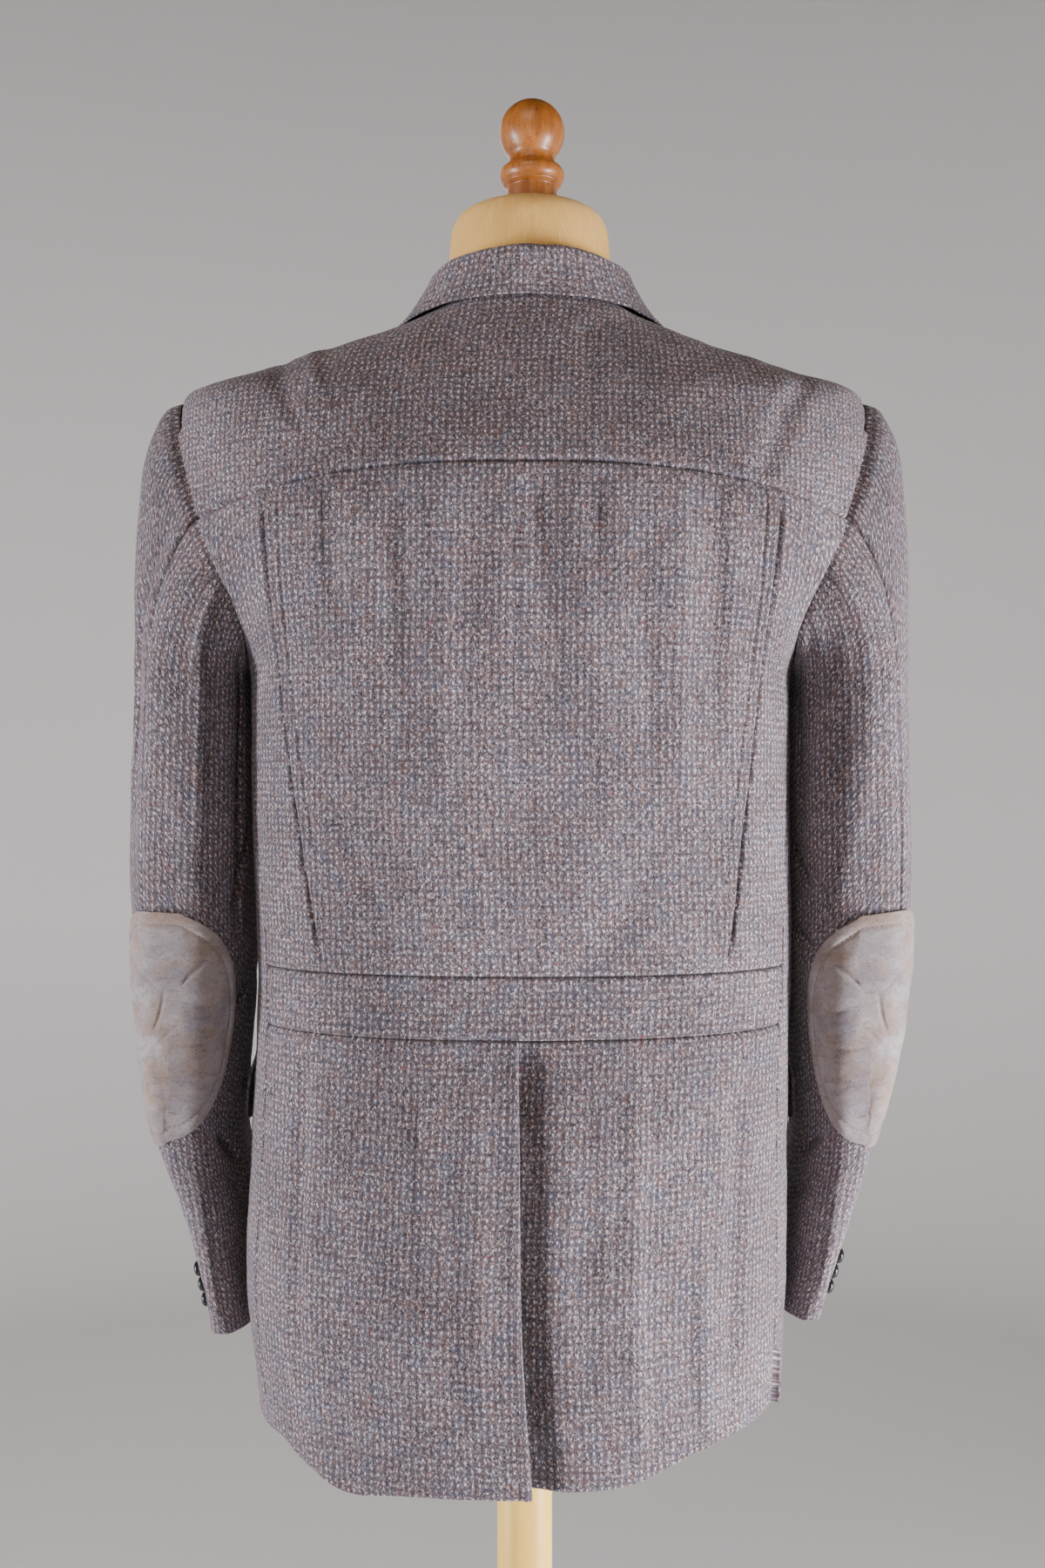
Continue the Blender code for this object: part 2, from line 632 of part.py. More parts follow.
# ---------------------------------------------------------------- collar
COLLAR_COLUMNS = ("turn", "seam_level", "foot_lift", "stand", "leaf_level", "leaf_lift", "spread")
COLLAR = (
    (0.0, 1.4900, -0.0010, 0.0240, 1.4800, 0.0050, 0.0085),
    (45.0, 1.4900, -0.0010, 0.0240, 1.4780, 0.0046, 0.0088),
    (90.0, 1.4900, -0.0010, 0.0225, 1.4720, 0.0050, 0.0090),
    (113.0, 1.4890, 0.0010, 0.0160, 1.4610, 0.0070, 0.0088),
    (135.0, 1.4790, 0.0032, 0.0080, 1.4440, 0.0082, 0.0080),
    (152.0, 1.4620, 0.0036, 0.0030, 1.4270, 0.0078, 0.0065),
)
COLLAR_STEPS = 14
COLLAR_CLEAR = 0.0016     # its foot stands this far over the neck seam


def collar_point(turn_degrees, share, side):
    """A point of the collar's face: up the stand, over the roll line and down the leaf."""
    row = look_up(COLLAR_COLUMNS, COLLAR, abs(turn_degrees))
    turn = math.radians(abs(turn_degrees))
    foot = body_lifted(turn, row["seam_level"], side, row["foot_lift"]) + Vector((0, 0, COLLAR_CLEAR))
    leaf = body_lifted(turn, row["leaf_level"], side, row["leaf_lift"])
    out = Vector((leaf.x - foot.x, leaf.y - foot.y, 0)).normalized()
    top = foot + Vector((0, 0, row["stand"])) - out * 0.001
    over = top + out * row["spread"] - Vector((0, 0, 0.0035))
    if share < 0.34:
        return foot.lerp(top, share / 0.34)
    if share < 0.60:
        angle = (share - 0.34) / 0.26 * math.pi
        middle = (top + over) / 2
        half = (over - top) / 2
        return middle - half * math.cos(angle) + Vector((0, 0, row["spread"] * 0.42)) * math.sin(angle)
    t = (share - 0.60) / 0.40
    sag = Vector((0, 0, -1)) * 0.003 * math.sin(math.pi * t)
    return over.lerp(leaf, t) + sag


def build_collar(tweed, jacket):
    shares = (0.0, 0.17, 0.33, 0.405, 0.47, 0.535, 0.60, 0.80, 1.0)
    reach = COLLAR[-1][0]
    outer = []
    inner = []
    for i in range(-COLLAR_STEPS, COLLAR_STEPS + 1):
        degrees = reach * i / COLLAR_STEPS
        side = 1 if i >= 0 else -1
        outer_row = [collar_point(degrees, s, side) for s in shares]
        inner_row = []
        for k, s in enumerate(shares):
            before = collar_point(degrees, max(s - 0.03, 0.0), side)
            after = collar_point(degrees, min(s + 0.03, 1.0), side)
            step = reach / COLLAR_STEPS * 0.2 * side
            ahead = collar_point(min(abs(degrees + step), reach), s, side)
            behind = collar_point(abs(degrees) - abs(step) if abs(degrees) > abs(step) else 0.0, s, side)
            normal = (ahead - behind).cross(after - before).normalized() * side
            inner_row.append(outer_row[k] - normal * CLOTH)
        outer.append(outer_row)
        inner.append(inner_row)
    close_wall("collar", outer, inner, tweed, jacket, mirrored=True)


# ---------------------------------------------------------------- sleeves
def ring_point(table, z, turn, side):
    """A point of the sleeve below its cap. turn is 0 at the body, 90 degrees at the back."""
    row = look_up(SLEEVE_COLUMNS, table, z)
    middle = (row["outer_x"] + row["inner_x"]) / 2
    half = (row["outer_x"] - row["inner_x"]) / 2
    twist = math.radians(row["twist"])
    if turn > 0:
        turn += math.radians(row["drift"]) * math.sin(turn)
    deep = row["half_depth"] * math.sin(turn)
    wide = -half * math.cos(turn)
    slim = math.sqrt(max(half ** 2 - (row["half_depth"] * math.sin(twist)) ** 2, 0.0002)) / half
    wide *= slim
    x = middle + wide * math.cos(twist) + deep * math.sin(twist)
    y = row["mid_y"] - wide * math.sin(twist) + deep * math.cos(twist)
    return Vector((side * x, y, z))


def scye_point(turn, side):
    """A point of the armhole's seam, on the body's surface."""
    level = scye_level(abs(turn))
    return body_point(side_edge(level, turn >= 0), level, side)


def sleeve_dent(point, table, turn, side):
    """Sinks a point of a sleeve into the creases that run along it."""
    folds = LEFT_SLEEVE_FOLDS if side > 0 else RIGHT_SLEEVE_FOLDS
    depth = 0.0
    for row in folds:
        fold = dict(zip(SLEEVE_FOLD_COLUMNS, row))
        share = (fold["high"] - point.z) / (fold["high"] - fold["low"])
        off = (math.degrees(turn) - fold["turn"]) / fold["half_turn"]
        if 0.0 < share < 1.0 and abs(off) < 1.0:
            depth += fold["depth"] * math.sin(math.pi * share) ** 0.8 * (1.0 - off ** 2) ** 2
    row = look_up(SLEEVE_COLUMNS, table, point.z)
    middle = Vector((side * (row["outer_x"] + row["inner_x"]) / 2, row["mid_y"], point.z))
    return point + (middle - point).normalized() * depth


def sleeve_point(table, turn, along, side):
    """The whole sleeve: along runs from 0 at the armhole, through 1 at the biceps, to 2 at the cuff."""
    return sleeve_dent(plain_sleeve_point(table, turn, along, side), table, turn, side)


def plain_sleeve_point(table, turn, along, side):
    biceps = table[0][0]
    if along >= 1.0:
        return ring_point(table, mix(biceps, table[-1][0], along - 1.0), turn, side)
    start = scye_point(turn, side)
    end = ring_point(table, biceps, turn, side)
    reach = (end - start).length
    rise = (1 - math.cos(turn)) / 2
    leave = Vector((side * mix(0.55, 1.0, rise), math.sin(turn) * 0.30, mix(-0.85, -0.42, rise)))
    leave = leave.normalized() * reach * mix(0.9, CAP_LEAVE, rise)
    land = Vector((0, 0, -1)) * reach * CAP_LAND
    return hermite(start, end, leave, land, along)


def sleeve_turns():
    """Columns round the sleeve, from -180 degrees through the body side to 180 degrees."""
    turns = scye_turns()
    return [-t for t in turns[:0:-1]] + turns


def sleeve_alongs():
    rows = [k / CAP_ROWS for k in range(CAP_ROWS)]
    return rows + [1 + k / SLEEVE_ROWS for k in range(SLEEVE_ROWS + 1)]


def sleeve_pair(table, side, turns, alongs, lift, thickness):
    """Outer and inner points of a stretch of sleeve."""
    def point(turn, along):
        return sleeve_point(table, turn, along, side)

    outer = []
    inner = []
    for along in alongs:
        outer_row = []
        inner_row = []
        for turn in turns:
            low = max(along - 0.01, 0.0) if along <= 1.0 else max(along - 0.01, 1.0)
            high = min(along + 0.01, 1.0) if along < 1.0 else min(along + 0.01, 2.0)
            upward = point(turn, low) - point(turn, high)
            around = point(turn + 0.02, along) - point(turn - 0.02, along)
            normal = upward.cross(around).normalized() * side
            centre = point(turn, along)
            outer_row.append(centre + normal * lift)
            inner_row.append(centre + normal * (lift - thickness))
        outer.append(outer_row)
        inner.append(inner_row)
    return outer, inner


def build_sleeves(tweed, jacket):
    turns = sleeve_turns()
    middle = len(turns) // 2
    under = turns[middle + FOREARM:middle + HINDARM + 1]
    top = turns[middle + HINDARM:] + [t + 2 * math.pi for t in turns[1:middle + FOREARM + 1]]
    for side, word, table in ((1, "left", LEFT_SLEEVE), (-1, "right", RIGHT_SLEEVE)):
        for name, columns in (("under_sleeve_", under), ("top_sleeve_", top)):
            wrapped = [t if t <= math.pi + 1e-9 else t - 2 * math.pi for t in columns]
            outer, inner = sleeve_pair(table, side, wrapped, sleeve_alongs(), 0.0, CLOTH)
            sides = "left right low"
            outer = shift_edges(outer, sides)
            inner = shift_edges(inner, sides)
            close_wall(name + word, outer, inner, tweed, jacket, mirrored=side < 0)


def build_elbow_patches(suede, jacket):
    """Oval patches over the hindarm seam, made on the sleeve's own columns and moved out."""
    for side, word, table in ((1, "left", LEFT_SLEEVE), (-1, "right", RIGHT_SLEEVE)):
        turns = [math.radians(t) for t in ELBOW_TURN]
        points = [ring_point(table, ELBOW_Z, t, side) for t in turns]
        run = [0.0]
        for a, b in zip(points, points[1:]):
            run.append(run[-1] + (b - a).length)
        half = run[-1] / 2
        outer = []
        inner = []
        for i in range(ELBOW_ROWS + 1):
            rows = []
            for turn, at in zip(turns, run):
                off = (at - half) / (half * 1.03)
                reach = ELBOW_HALF_HEIGHT * math.sqrt(max(1 - abs(off) ** 2.3, 0.0))
                z = ELBOW_Z + reach * (1 - 2 * i / ELBOW_ROWS)
                along = 1 + (table[0][0] - z) / (table[0][0] - table[-1][0])
                rows.append(sleeve_pair(table, side, [turn], [along], ELBOW_LIFT + SUEDE, SUEDE))
            outer.append([pair[0][0][0] for pair in rows])
            inner.append([pair[1][0][0] for pair in rows])
        close_wall("elbow_patch_" + word, outer, inner, suede, jacket, mirrored=side < 0)


# ---------------------------------------------------------------- buttons
BUTTON_COLUMNS = ("radius", "height")
FRONT_BUTTON = ((0.0, 0.0044), (0.0060, 0.0036), (0.0080, 0.0046), (0.0098, 0.0040), (0.0104, 0.0022),
                (0.0094, 0.0006), (0.0, 0.0))
CUFF_BUTTON = ((0.0, 0.0050), (0.0030, 0.0047), (0.0052, 0.0034), (0.0060, 0.0018), (0.0054, 0.0004),
               (0.0, 0.0))
FRONT_BUTTON_LEVELS = (1.105, 0.995, 0.885)
CUFF_BUTTON_RISE = (0.022, 0.0345, 0.047)
CUFF_BUTTON_TURN = 150.0
BUTTON_SIDES = 14
BUTTON_REST = 0.0003


def turned(name, profile, sides, material, collection):
    """A turned solid from a profile that runs top to bottom, spun about Z."""
    mesh = bpy.data.meshes.new(name)
    verts = [(radius, 0.0, height) for radius, height in profile]
    edges = [(k, k + 1) for k in range(len(verts) - 1)]
    mesh.from_pydata(verts, edges, [])
    obj = bpy.data.objects.new(name, mesh)
    collection.objects.link(obj)
    screw = obj.modifiers.new("Turn", "SCREW")
    screw.axis = "Z"
    screw.angle = 2 * math.pi
    screw.steps = sides
    screw.render_steps = sides
    screw.use_merge_vertices = True
    screw.merge_threshold = 0.0001
    screw.use_smooth_shade = True
    mesh.materials.append(material)
    return obj


def place(obj, point, normal):
    obj.location = point
    obj.rotation_mode = "QUATERNION"
    obj.rotation_quaternion = Vector((0, 0, 1)).rotation_difference(normal)


def build_buttons(horn, jacket):
    for k, level in enumerate(FRONT_BUTTON_LEVELS):
        obj = turned("front_button_%d" % (k + 1), FRONT_BUTTON, 20, horn, jacket)
        turn = turn_at(0.0, level, True)
        seat = body_lifted(turn, level, 1, BUTTON_REST)
        normal = (body_lifted(turn, level, 1, 0.01) - seat).normalized()
        place(obj, seat, normal)
    for side, word, table in ((1, "left", LEFT_SLEEVE), (-1, "right", RIGHT_SLEEVE)):
        cuff = table[-1][0]
        for k, rise in enumerate(CUFF_BUTTON_RISE):
            along = 1 + (table[0][0] - cuff - rise) / (table[0][0] - cuff)
            turn = math.radians(CUFF_BUTTON_TURN - table[-1][6])
            outer, inner = sleeve_pair(table, side, [turn], [along], BUTTON_REST, CLOTH)
            normal = (outer[0][0] - inner[0][0]).normalized()
            obj = turned("cuff_button_%s_%d" % (word, k + 1), CUFF_BUTTON, BUTTON_SIDES, horn, jacket)
            place(obj, outer[0][0], normal)


# ---------------------------------------------------------------- dress form and stand
FORM_COLUMNS = ("level", "side_in", "back_in", "front_in")
FORM_INSETS = (
    (0.820, 0.026, 0.036, 0.030),
    (0.860, 0.016, 0.024, 0.020),
    (0.950, 0.013, 0.014, 0.012),
    (1.025, 0.012, 0.011, 0.011),
    (1.200, 0.013, 0.011, 0.010),
    (1.235, 0.016, 0.010, 0.010),
    (1.320, 0.036, 0.009, 0.010),
    (1.358, 0.030, 0.0075, 0.008),
    (1.405, 0.016, 0.0045, 0.005),
    (1.427, 0.0045, 0.0036, 0.005),
    (1.450, 0.0040, 0.0036, 0.006),
    (1.471, 0.0050, 0.0038, 0.010),
    (1.490, 0.0055, 0.0044, 0.012),
)
FORM_SIDES = 28
FORM_LEVELS = (0.820, 0.835, 0.860, 0.900, 0.950, 1.025, 1.090, 1.150, 1.200, 1.235, 1.280, 1.320,
               1.358, 1.383, 1.405, 1.427, 1.450, 1.471, 1.490)
NECK_RINGS = ((0.0578, 1.506), (0.0575, 1.522), (0.0563, 1.536), (0.0520, 1.548), (0.0420, 1.558),
              (0.0270, 1.5645))


def form_ring(level):
    """One ring of the dress form: the body's surface, moved in."""
    row = look_up(FORM_COLUMNS, FORM_INSETS, level)
    points = []
    for k in range(FORM_SIDES):
        around = 2 * math.pi * k / FORM_SIDES
        side = 1 if around <= math.pi else -1
        turn = around if side > 0 else 2 * math.pi - around
        across = math.sin(turn) ** 2
        end = row["back_in"] if math.cos(turn) > 0 else row["front_in"]
        inset = mix(end, row["side_in"], across)
        points.append(body_lifted(turn, level, side, -inset))
    return points


def build_form(linen, collection):
    rings = [form_ring(level) for level in FORM_LEVELS]
    for point in rings[0]:
        point.z = FORM_LOW
    for radius, z in NECK_RINGS:
        ring = []
        for k in range(FORM_SIDES):
            around = 2 * math.pi * k / FORM_SIDES
            ring.append(Vector((NECK_X + radius * math.sin(around), 0.004 + radius * math.cos(around), z)))
        rings.append(ring)
    mesh = bpy.data.meshes.new("form_torso")
    bm = bmesh.new()
    loops = [[bm.verts.new(p) for p in ring] for ring in rings]
    for lower, upper in zip(loops, loops[1:]):
        for k in range(FORM_SIDES):
            n = (k + 1) % FORM_SIDES
            bm.faces.new((lower[n], lower[k], upper[k]))
            bm.faces.new((lower[n], upper[k], upper[n]))
    bm.faces.new(loops[0])
    bm.faces.new(loops[-1][::-1])
    bmesh.ops.recalc_face_normals(bm, faces=bm.faces)
    bm.to_mesh(mesh)
    bm.free()
    mesh.shade_smooth()
    mesh.set_sharp_from_angle(angle=math.radians(50))
    mesh.materials.append(linen)
    obj = bpy.data.objects.new("form_torso", mesh)
    collection.objects.link(obj)


def ball_profile(radius_x, radius_z, centre, start, end, steps):
    """Points down a ball's side, from a start angle above its middle to an end angle below it."""
    points = []
    for k in range(steps + 1):
        angle = math.radians(mix(start, end, k / steps))
        points.append((radius_x * math.cos(angle), centre + radius_z * math.sin(angle)))
    return points


def build_stand(finial_wood, pole_wood, collection):
    low = CAP_TOP + 0.0003
    finial = [(0.0, 1.6440)] + ball_profile(0.0236, 0.0235, 1.6205, 80, -40, 8)
    finial += [(0.0164, 1.6025), (0.0172, 1.5995)]
    finial += ball_profile(0.0230, 0.0075, 1.5895, 55, -60, 5)
    finial += [(0.0178, 1.5815), (0.0180, low), (0.0, low)]
    obj = turned("form_finial", finial, 24, finial_wood, collection)
    obj.location.x = FINIAL_X
    pole = [(0.0, FORM_LOW - 0.0003), (POLE_RADIUS, FORM_LOW - 0.0003),
            (POLE_RADIUS, BASE_HEIGHT + 0.0003), (0.0, BASE_HEIGHT + 0.0003)]
    turned("form_pole", pole, 24, pole_wood, collection)
    base = [(0.0, BASE_HEIGHT), (0.040, BASE_HEIGHT), (0.046, BASE_HEIGHT - 0.006)]
    base += [(BASE_RADIUS - 0.020, BASE_HEIGHT - 0.012)]
    base += ball_profile(0.011, 0.011, 0.011, 80, -60, 5)
    base = [(r + (BASE_RADIUS - 0.011 if k > 3 else 0.0), z) for k, (r, z) in enumerate(base)]
    base += [(BASE_RADIUS - 0.010, 0.0), (0.0, 0.0)]
    turned("form_base", base, 36, pole_wood, collection)


# ---------------------------------------------------------------- scene
def plain_material(name, colour, roughness):
    material = bpy.data.materials.new(name)
    material.use_nodes = True
    shader = material.node_tree.nodes["Principled BSDF"]
    shader.inputs["Base Color"].default_value = colour
    shader.inputs["Roughness"].default_value = roughness
    shader.inputs["Metallic"].default_value = 0.0
    return material


def main():
    for obj in list(bpy.data.objects):
        bpy.data.objects.remove(obj, do_unlink=True)
    jacket = bpy.data.collections.new("hacking_jacket_on_form")
    bpy.context.scene.collection.children.link(jacket)
    tweed = plain_material("tweed", TWEED, 0.9)
    suede = plain_material("elbow_suede", SUEDE_COLOUR, 0.85)
    linen = plain_material("form_linen", LINEN, 0.9)
    horn = plain_material("button_black", HORN, 0.2)
    finial_wood = plain_material("finial_wood", FINIAL_WOOD, 0.35)
    pole_wood = plain_material("pole_wood", POLE_WOOD, 0.5)
    build_back(tweed, jacket)
    build_skirts(tweed, jacket)
    build_fronts(tweed, jacket)
    build_pockets(tweed, jacket)
    build_lapels(tweed, jacket)
    build_collar(tweed, jacket)
    build_sleeves(tweed, jacket)
    build_elbow_patches(suede, jacket)
    build_buttons(horn, jacket)
    build_form(linen, jacket)
    build_stand(finial_wood, pole_wood, jacket)


main()
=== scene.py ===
"""Tweed hacking jacket on a limbless dress form: the finished cloth, suede, linen, wood and buttons.

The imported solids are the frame. Every sewn piece is a thin shell on the same surface as its solid,
with its own creases, seam dips and stitching. The wearer's left is +X and the jacket faces -Y.
"""
import math

import bpy
import numpy as np
from bpy.props import FloatProperty, FloatVectorProperty, PointerProperty
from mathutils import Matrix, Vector


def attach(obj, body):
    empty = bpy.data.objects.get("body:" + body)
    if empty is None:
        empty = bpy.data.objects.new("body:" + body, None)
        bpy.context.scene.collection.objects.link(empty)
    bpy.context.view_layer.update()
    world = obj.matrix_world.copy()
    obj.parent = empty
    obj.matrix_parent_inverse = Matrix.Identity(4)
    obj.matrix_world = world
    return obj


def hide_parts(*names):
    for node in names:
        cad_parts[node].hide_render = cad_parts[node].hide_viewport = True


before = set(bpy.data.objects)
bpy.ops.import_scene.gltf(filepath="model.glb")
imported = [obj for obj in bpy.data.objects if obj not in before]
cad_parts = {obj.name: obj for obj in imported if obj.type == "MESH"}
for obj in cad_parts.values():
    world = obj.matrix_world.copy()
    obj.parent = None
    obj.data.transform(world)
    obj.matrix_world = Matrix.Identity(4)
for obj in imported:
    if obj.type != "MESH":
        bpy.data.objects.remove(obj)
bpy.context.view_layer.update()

BODY = "root"

bl_info = {
    "name": "Tweed hacking jacket on a dress form",
    "version": (1, 0, 0),
    "blender": (4, 5, 0),
    "location": "View3D > Sidebar > Hacking Jacket",
    "description": "Builds a tweed hacking jacket, worn by a linen dress form on a wooden stand",
    "category": "Add Mesh",
}

# ---- the body of the jacket
HEM = 0.7035             # levels are heights at the centre back
BELT_LOW = 0.985
BELT_TOP = 1.025
SCYE_LOW = 1.235         # the armhole's lowest point
SCYE_MIDDLE = 1.32
SCYE_TOP = 1.405         # the ring through the shoulder points
YOKE_SEAM = 1.358
NECK_SEAM = 1.49

# level, side_z, front_z, half_width, back_y, front_y, mid_y, square, taper, lean
BODY_STATIONS = (
    (0.67, 0.683, 0.683, 0.184, 0.159, -0.119, -0.02, 2.45, 0.08, 0.003),
    (0.7035, 0.716, 0.716, 0.187, 0.159, -0.121, -0.02, 2.45, 0.08, 0.0035),
    (0.8, 0.804, 0.804, 0.1935, 0.157, -0.126, -0.015, 2.4, 0.06, 0.006),
    (0.9, 0.901, 0.901, 0.1915, 0.147, -0.124, -0.01, 2.4, 0.04, 0.0035),
    (0.985, 0.985, 0.985, 0.1905, 0.129, -0.118, -0.004, 2.4, 0.02, 0.001),
    (1.025, 1.025, 1.025, 0.1905, 0.124, -0.117, 0.0, 2.4, 0.0, 0.0),
    (1.12, 1.12, 1.12, 0.1915, 0.132, -0.121, 0.0, 2.4, 0.0, 0.0025),
    (1.2, 1.2, 1.2, 0.1915, 0.141, -0.127, 0.0, 2.4, 0.0, 0.003),
    (1.235, 1.234, 1.234, 0.193, 0.143, -0.128, 0.0, 2.45, 0.0, 0.003),
    (1.32, 1.3, 1.3, 0.227, 0.141, -0.119, 0.0, 2.6, 0.0, 0.002),
    (1.358, 1.326, 1.332, 0.234, 0.133, -0.108, 0.0, 2.6, 0.0, 0.0015),
    (1.405, 1.421, 1.382, 0.243, 0.112, -0.088, 0.0, 2.3, 0.0, 0.001),
    (1.427, 1.44, 1.4, 0.198, 0.101, -0.078, 0.001, 2.2, 0.0, 0.0),
    (1.45, 1.457, 1.418, 0.144, 0.089, -0.068, 0.002, 2.1, 0.0, -0.001),
    (1.472, 1.472, 1.436, 0.098, 0.077, -0.059, 0.003, 2.05, 0.0, -0.004),
    (1.49, 1.486, 1.454, 0.0665, 0.068, -0.052, 0.004, 2.0, 0.0, -0.0045),
)

SIDE_SEAM = ((0.7035, 66.0), (0.985, 66.0), (1.12, 72.0), (1.235, 84.0))  # level, degrees
SCYE_TOP_DEGREES = 90.0
SCYE_EDGE = 0.22         # length of half of the armhole's edge
SCYE_BACK_SPREAD = 24.0
SCYE_FRONT_SPREAD = 25.0

PLEAT_FOLD = ((0.7035, 0.1), (0.985, 0.122), (1.025, 0.132), (1.075, 0.14), (1.13, 0.147),
              (1.206, 0.156), (1.3, 0.165), (1.358, 0.167), (1.405, 0.158), (1.49, 0.048))
TUCK_DROP = 0.0026
PLEAT_COLUMN = 9         # the pleat's rise and tuck are counted in ninths of the back's width
PLEAT_PRESS = 0.009      # a pressed line this far inside the pleat's edge
PLEAT_STRIP = 0.0007     # how far the strip outside that line stands up
PLEAT_STRIP_SWELL = 0.0005
PLEAT_LINE = 0.0007      # how deep the pressed line lies
PLEAT_LINES = (0.0066, 0.0126, 0.0007)  # from, to, apart: the close columns over the pressed line
BACK_WIDTH = 0.155
SIDE_BACK_WIDTH = 0.075
SIDE_BACK_SPREAD = 0.08  # width by which the groove's columns are counted
YOKE_WIDTH = 0.46
SKIRT_WIDTH = 0.245
FRONT_WIDTH = 0.27
TUCK_RISE = 0.0042       # the side back comes up over this width beside the pleat's edge
PLEAT_SHARE = 0.17       # the part of the side back that lies beneath the pleat
PLEAT_EDGE_RAISE = 0.0015
PLEAT_LIP = 0.001        # how far the side back swells beside the pleat
GROOVE_COLUMNS = (-0.004, -0.002, 0.0, 0.0008, 0.0014, 0.0019, 0.0023, 0.0027, 0.0031, 0.0035, 0.004,
                  0.0047, 0.006, 0.008, 0.0105)

# x_high, high, x_low, low, half_width, depth: the soft upright folds behind
BACK_FOLDS = (
    (0.1195, 1.354, 0.118, 1.235, 0.013, 0.0018), (0.078, 1.354, 0.069, 1.16, 0.018, 0.0026),
    (0.033, 1.33, 0.031, 1.2, 0.014, 0.001), (-0.006, 1.354, -0.026, 1.19, 0.017, 0.0024),
    (-0.044, 1.354, -0.048, 1.28, 0.014, 0.0016), (-0.069, 1.32, -0.078, 1.15, 0.017, 0.002),
    (-0.115, 1.354, -0.1175, 1.13, 0.018, 0.0028), (0.099, 0.985, 0.102, 0.6, 0.045, 0.0032),
    (-0.095, 0.93, -0.104, 0.6, 0.04, 0.0022),
)
FOLD_STARTS = 0.14
FOLD_FADES = 0.55

VENT_TOP_X = 0.003
VENT_HEM_X = -0.0085
VENT_LAP = 0.036
VENT_RAISE = 0.0022
VENT_SINK = 0.0062       # how far the right skirt sinks beside the left one's edge
VENT_SINK_REACH = 0.026
VENT_ROLL = 0.0007       # how far the lapped edge rolls up
SKIRT_FLARE = 0.001      # and how much more it stands off towards the hem
CENTRE_SEAM_X = 0.004

# degrees, left, right: how far the hem hangs off its level
HEM_SHIFT = ((0.0, 0.0, 0.003), (20.0, -0.004, 0.004), (35.0, -0.012, 0.013), (47.0, -0.006, 0.015),
             (57.0, 0.002, 0.015), (70.0, -0.003, 0.015), (90.0, -0.004, 0.012), (180.0, 0.0, 0.004))
HEM_REACH = 0.8

BREAK = 1.13             # the height at which the lapels roll back
BREAK_EASE = 0.06
ROLL_CURVE = 0.85
FRONT_RADIUS = 0.12
CUTAWAY_CURVE = 2.2
FRONT_LAP = 0.018
ROLL_NECK_X = 0.0615
CUTAWAY_START = 0.86
CUTAWAY_X = 0.052
CUTAWAY_RISE = 0.03

LAPEL_WIDTH = 0.086
LAPEL_LENGTH = 0.3
LAPEL_WALL = 0.002
LAPEL_TIP = 1.378
GORGE = 1.45
LAPEL_REST = 0.0008
LAPEL_PUFF = 0.0012

EDGE_STITCH = 0.006      # stitching along free edges, in from the edge
DOUBLE_WALL = 0.0019     # pockets, flaps and collar
POCKET_WIDTH = 0.15
POCKET_SHARES = (0.2, 0.8)
POCKET_LOW = 0.79
POCKET_TOP = 0.94
FLAP_LOW = 0.903
FLAP_TOP = 0.957
POCKET_LIFT = 0.003
FLAP_REST = 0.0026
FLAP_STEP = 0.0034
FLAP_FLARE = 0.003
POCKET_CORNER = 0.022
FLAP_CORNER = 0.01

# turn, seam_level, foot_lift, stand, leaf_level, leaf_lift, spread
COLLAR = (
    (0.0, 1.49, -0.001, 0.024, 1.48, 0.0044, 0.0085), (45.0, 1.49, -0.001, 0.024, 1.478, 0.004, 0.0088),
    (90.0, 1.49, -0.001, 0.0225, 1.472, 0.0038, 0.009), (113.0, 1.489, 0.001, 0.016, 1.461, 0.0046, 0.0088),
    (135.0, 1.479, 0.0032, 0.008, 1.444, 0.0062, 0.008),
    (152.0, 1.462, 0.0036, 0.003, 1.427, 0.0072, 0.0065),
)
COLLAR_CLEAR = 0.0016
COLLAR_ROLL = 0.34       # share of its depth at which the stand ends and the roll begins
COLLAR_LEAF = 0.6        # and at which the roll ends and the leaf begins
COLLAR_STITCH_DIP = 0.0003

# ---- the sleeves
# mid_y, half_depth, twist, drift: what both sleeves share, from the biceps to the cuff
SLEEVE_DEPTHS = (
    (-0.003, 0.078, 0.0, 0.0), (-0.005, 0.077, 0.0, 0.0), (-0.007, 0.074, 0.0, 0.0),
    (-0.01, 0.071, 1.0, 0.0), (-0.016, 0.069, 3.0, 5.0), (-0.026, 0.067, 5.0, 10.0),
    (-0.039, 0.065, 7.0, 16.0), (-0.053, 0.064, 9.0, 22.0), (-0.066, 0.063, 10.0, 26.0),
)
# z, outer_x, inner_x
LEFT_WIDTHS = (
    (1.213, 0.2775, 0.197), (1.15, 0.2808, 0.1972), (1.087, 0.282, 0.1975), (1.02, 0.279, 0.1965),
    (0.952, 0.2735, 0.202), (0.9, 0.265, 0.208), (0.85, 0.248, 0.203), (0.8, 0.235, 0.1985),
    (0.75, 0.2275, 0.1925),
)
RIGHT_WIDTHS = (
    (1.213, 0.272, 0.1915), (1.15, 0.2745, 0.1915), (1.087, 0.276, 0.192), (1.02, 0.274, 0.1915),
    (0.952, 0.2645, 0.196), (0.9, 0.25, 0.2005), (0.85, 0.2375, 0.195), (0.805, 0.225, 0.189),
    (0.76, 0.215, 0.1805),
)
LEFT_SLEEVE, RIGHT_SLEEVE = (tuple(a + b for a, b in zip(widths, SLEEVE_DEPTHS))
                             for widths in (LEFT_WIDTHS, RIGHT_WIDTHS))
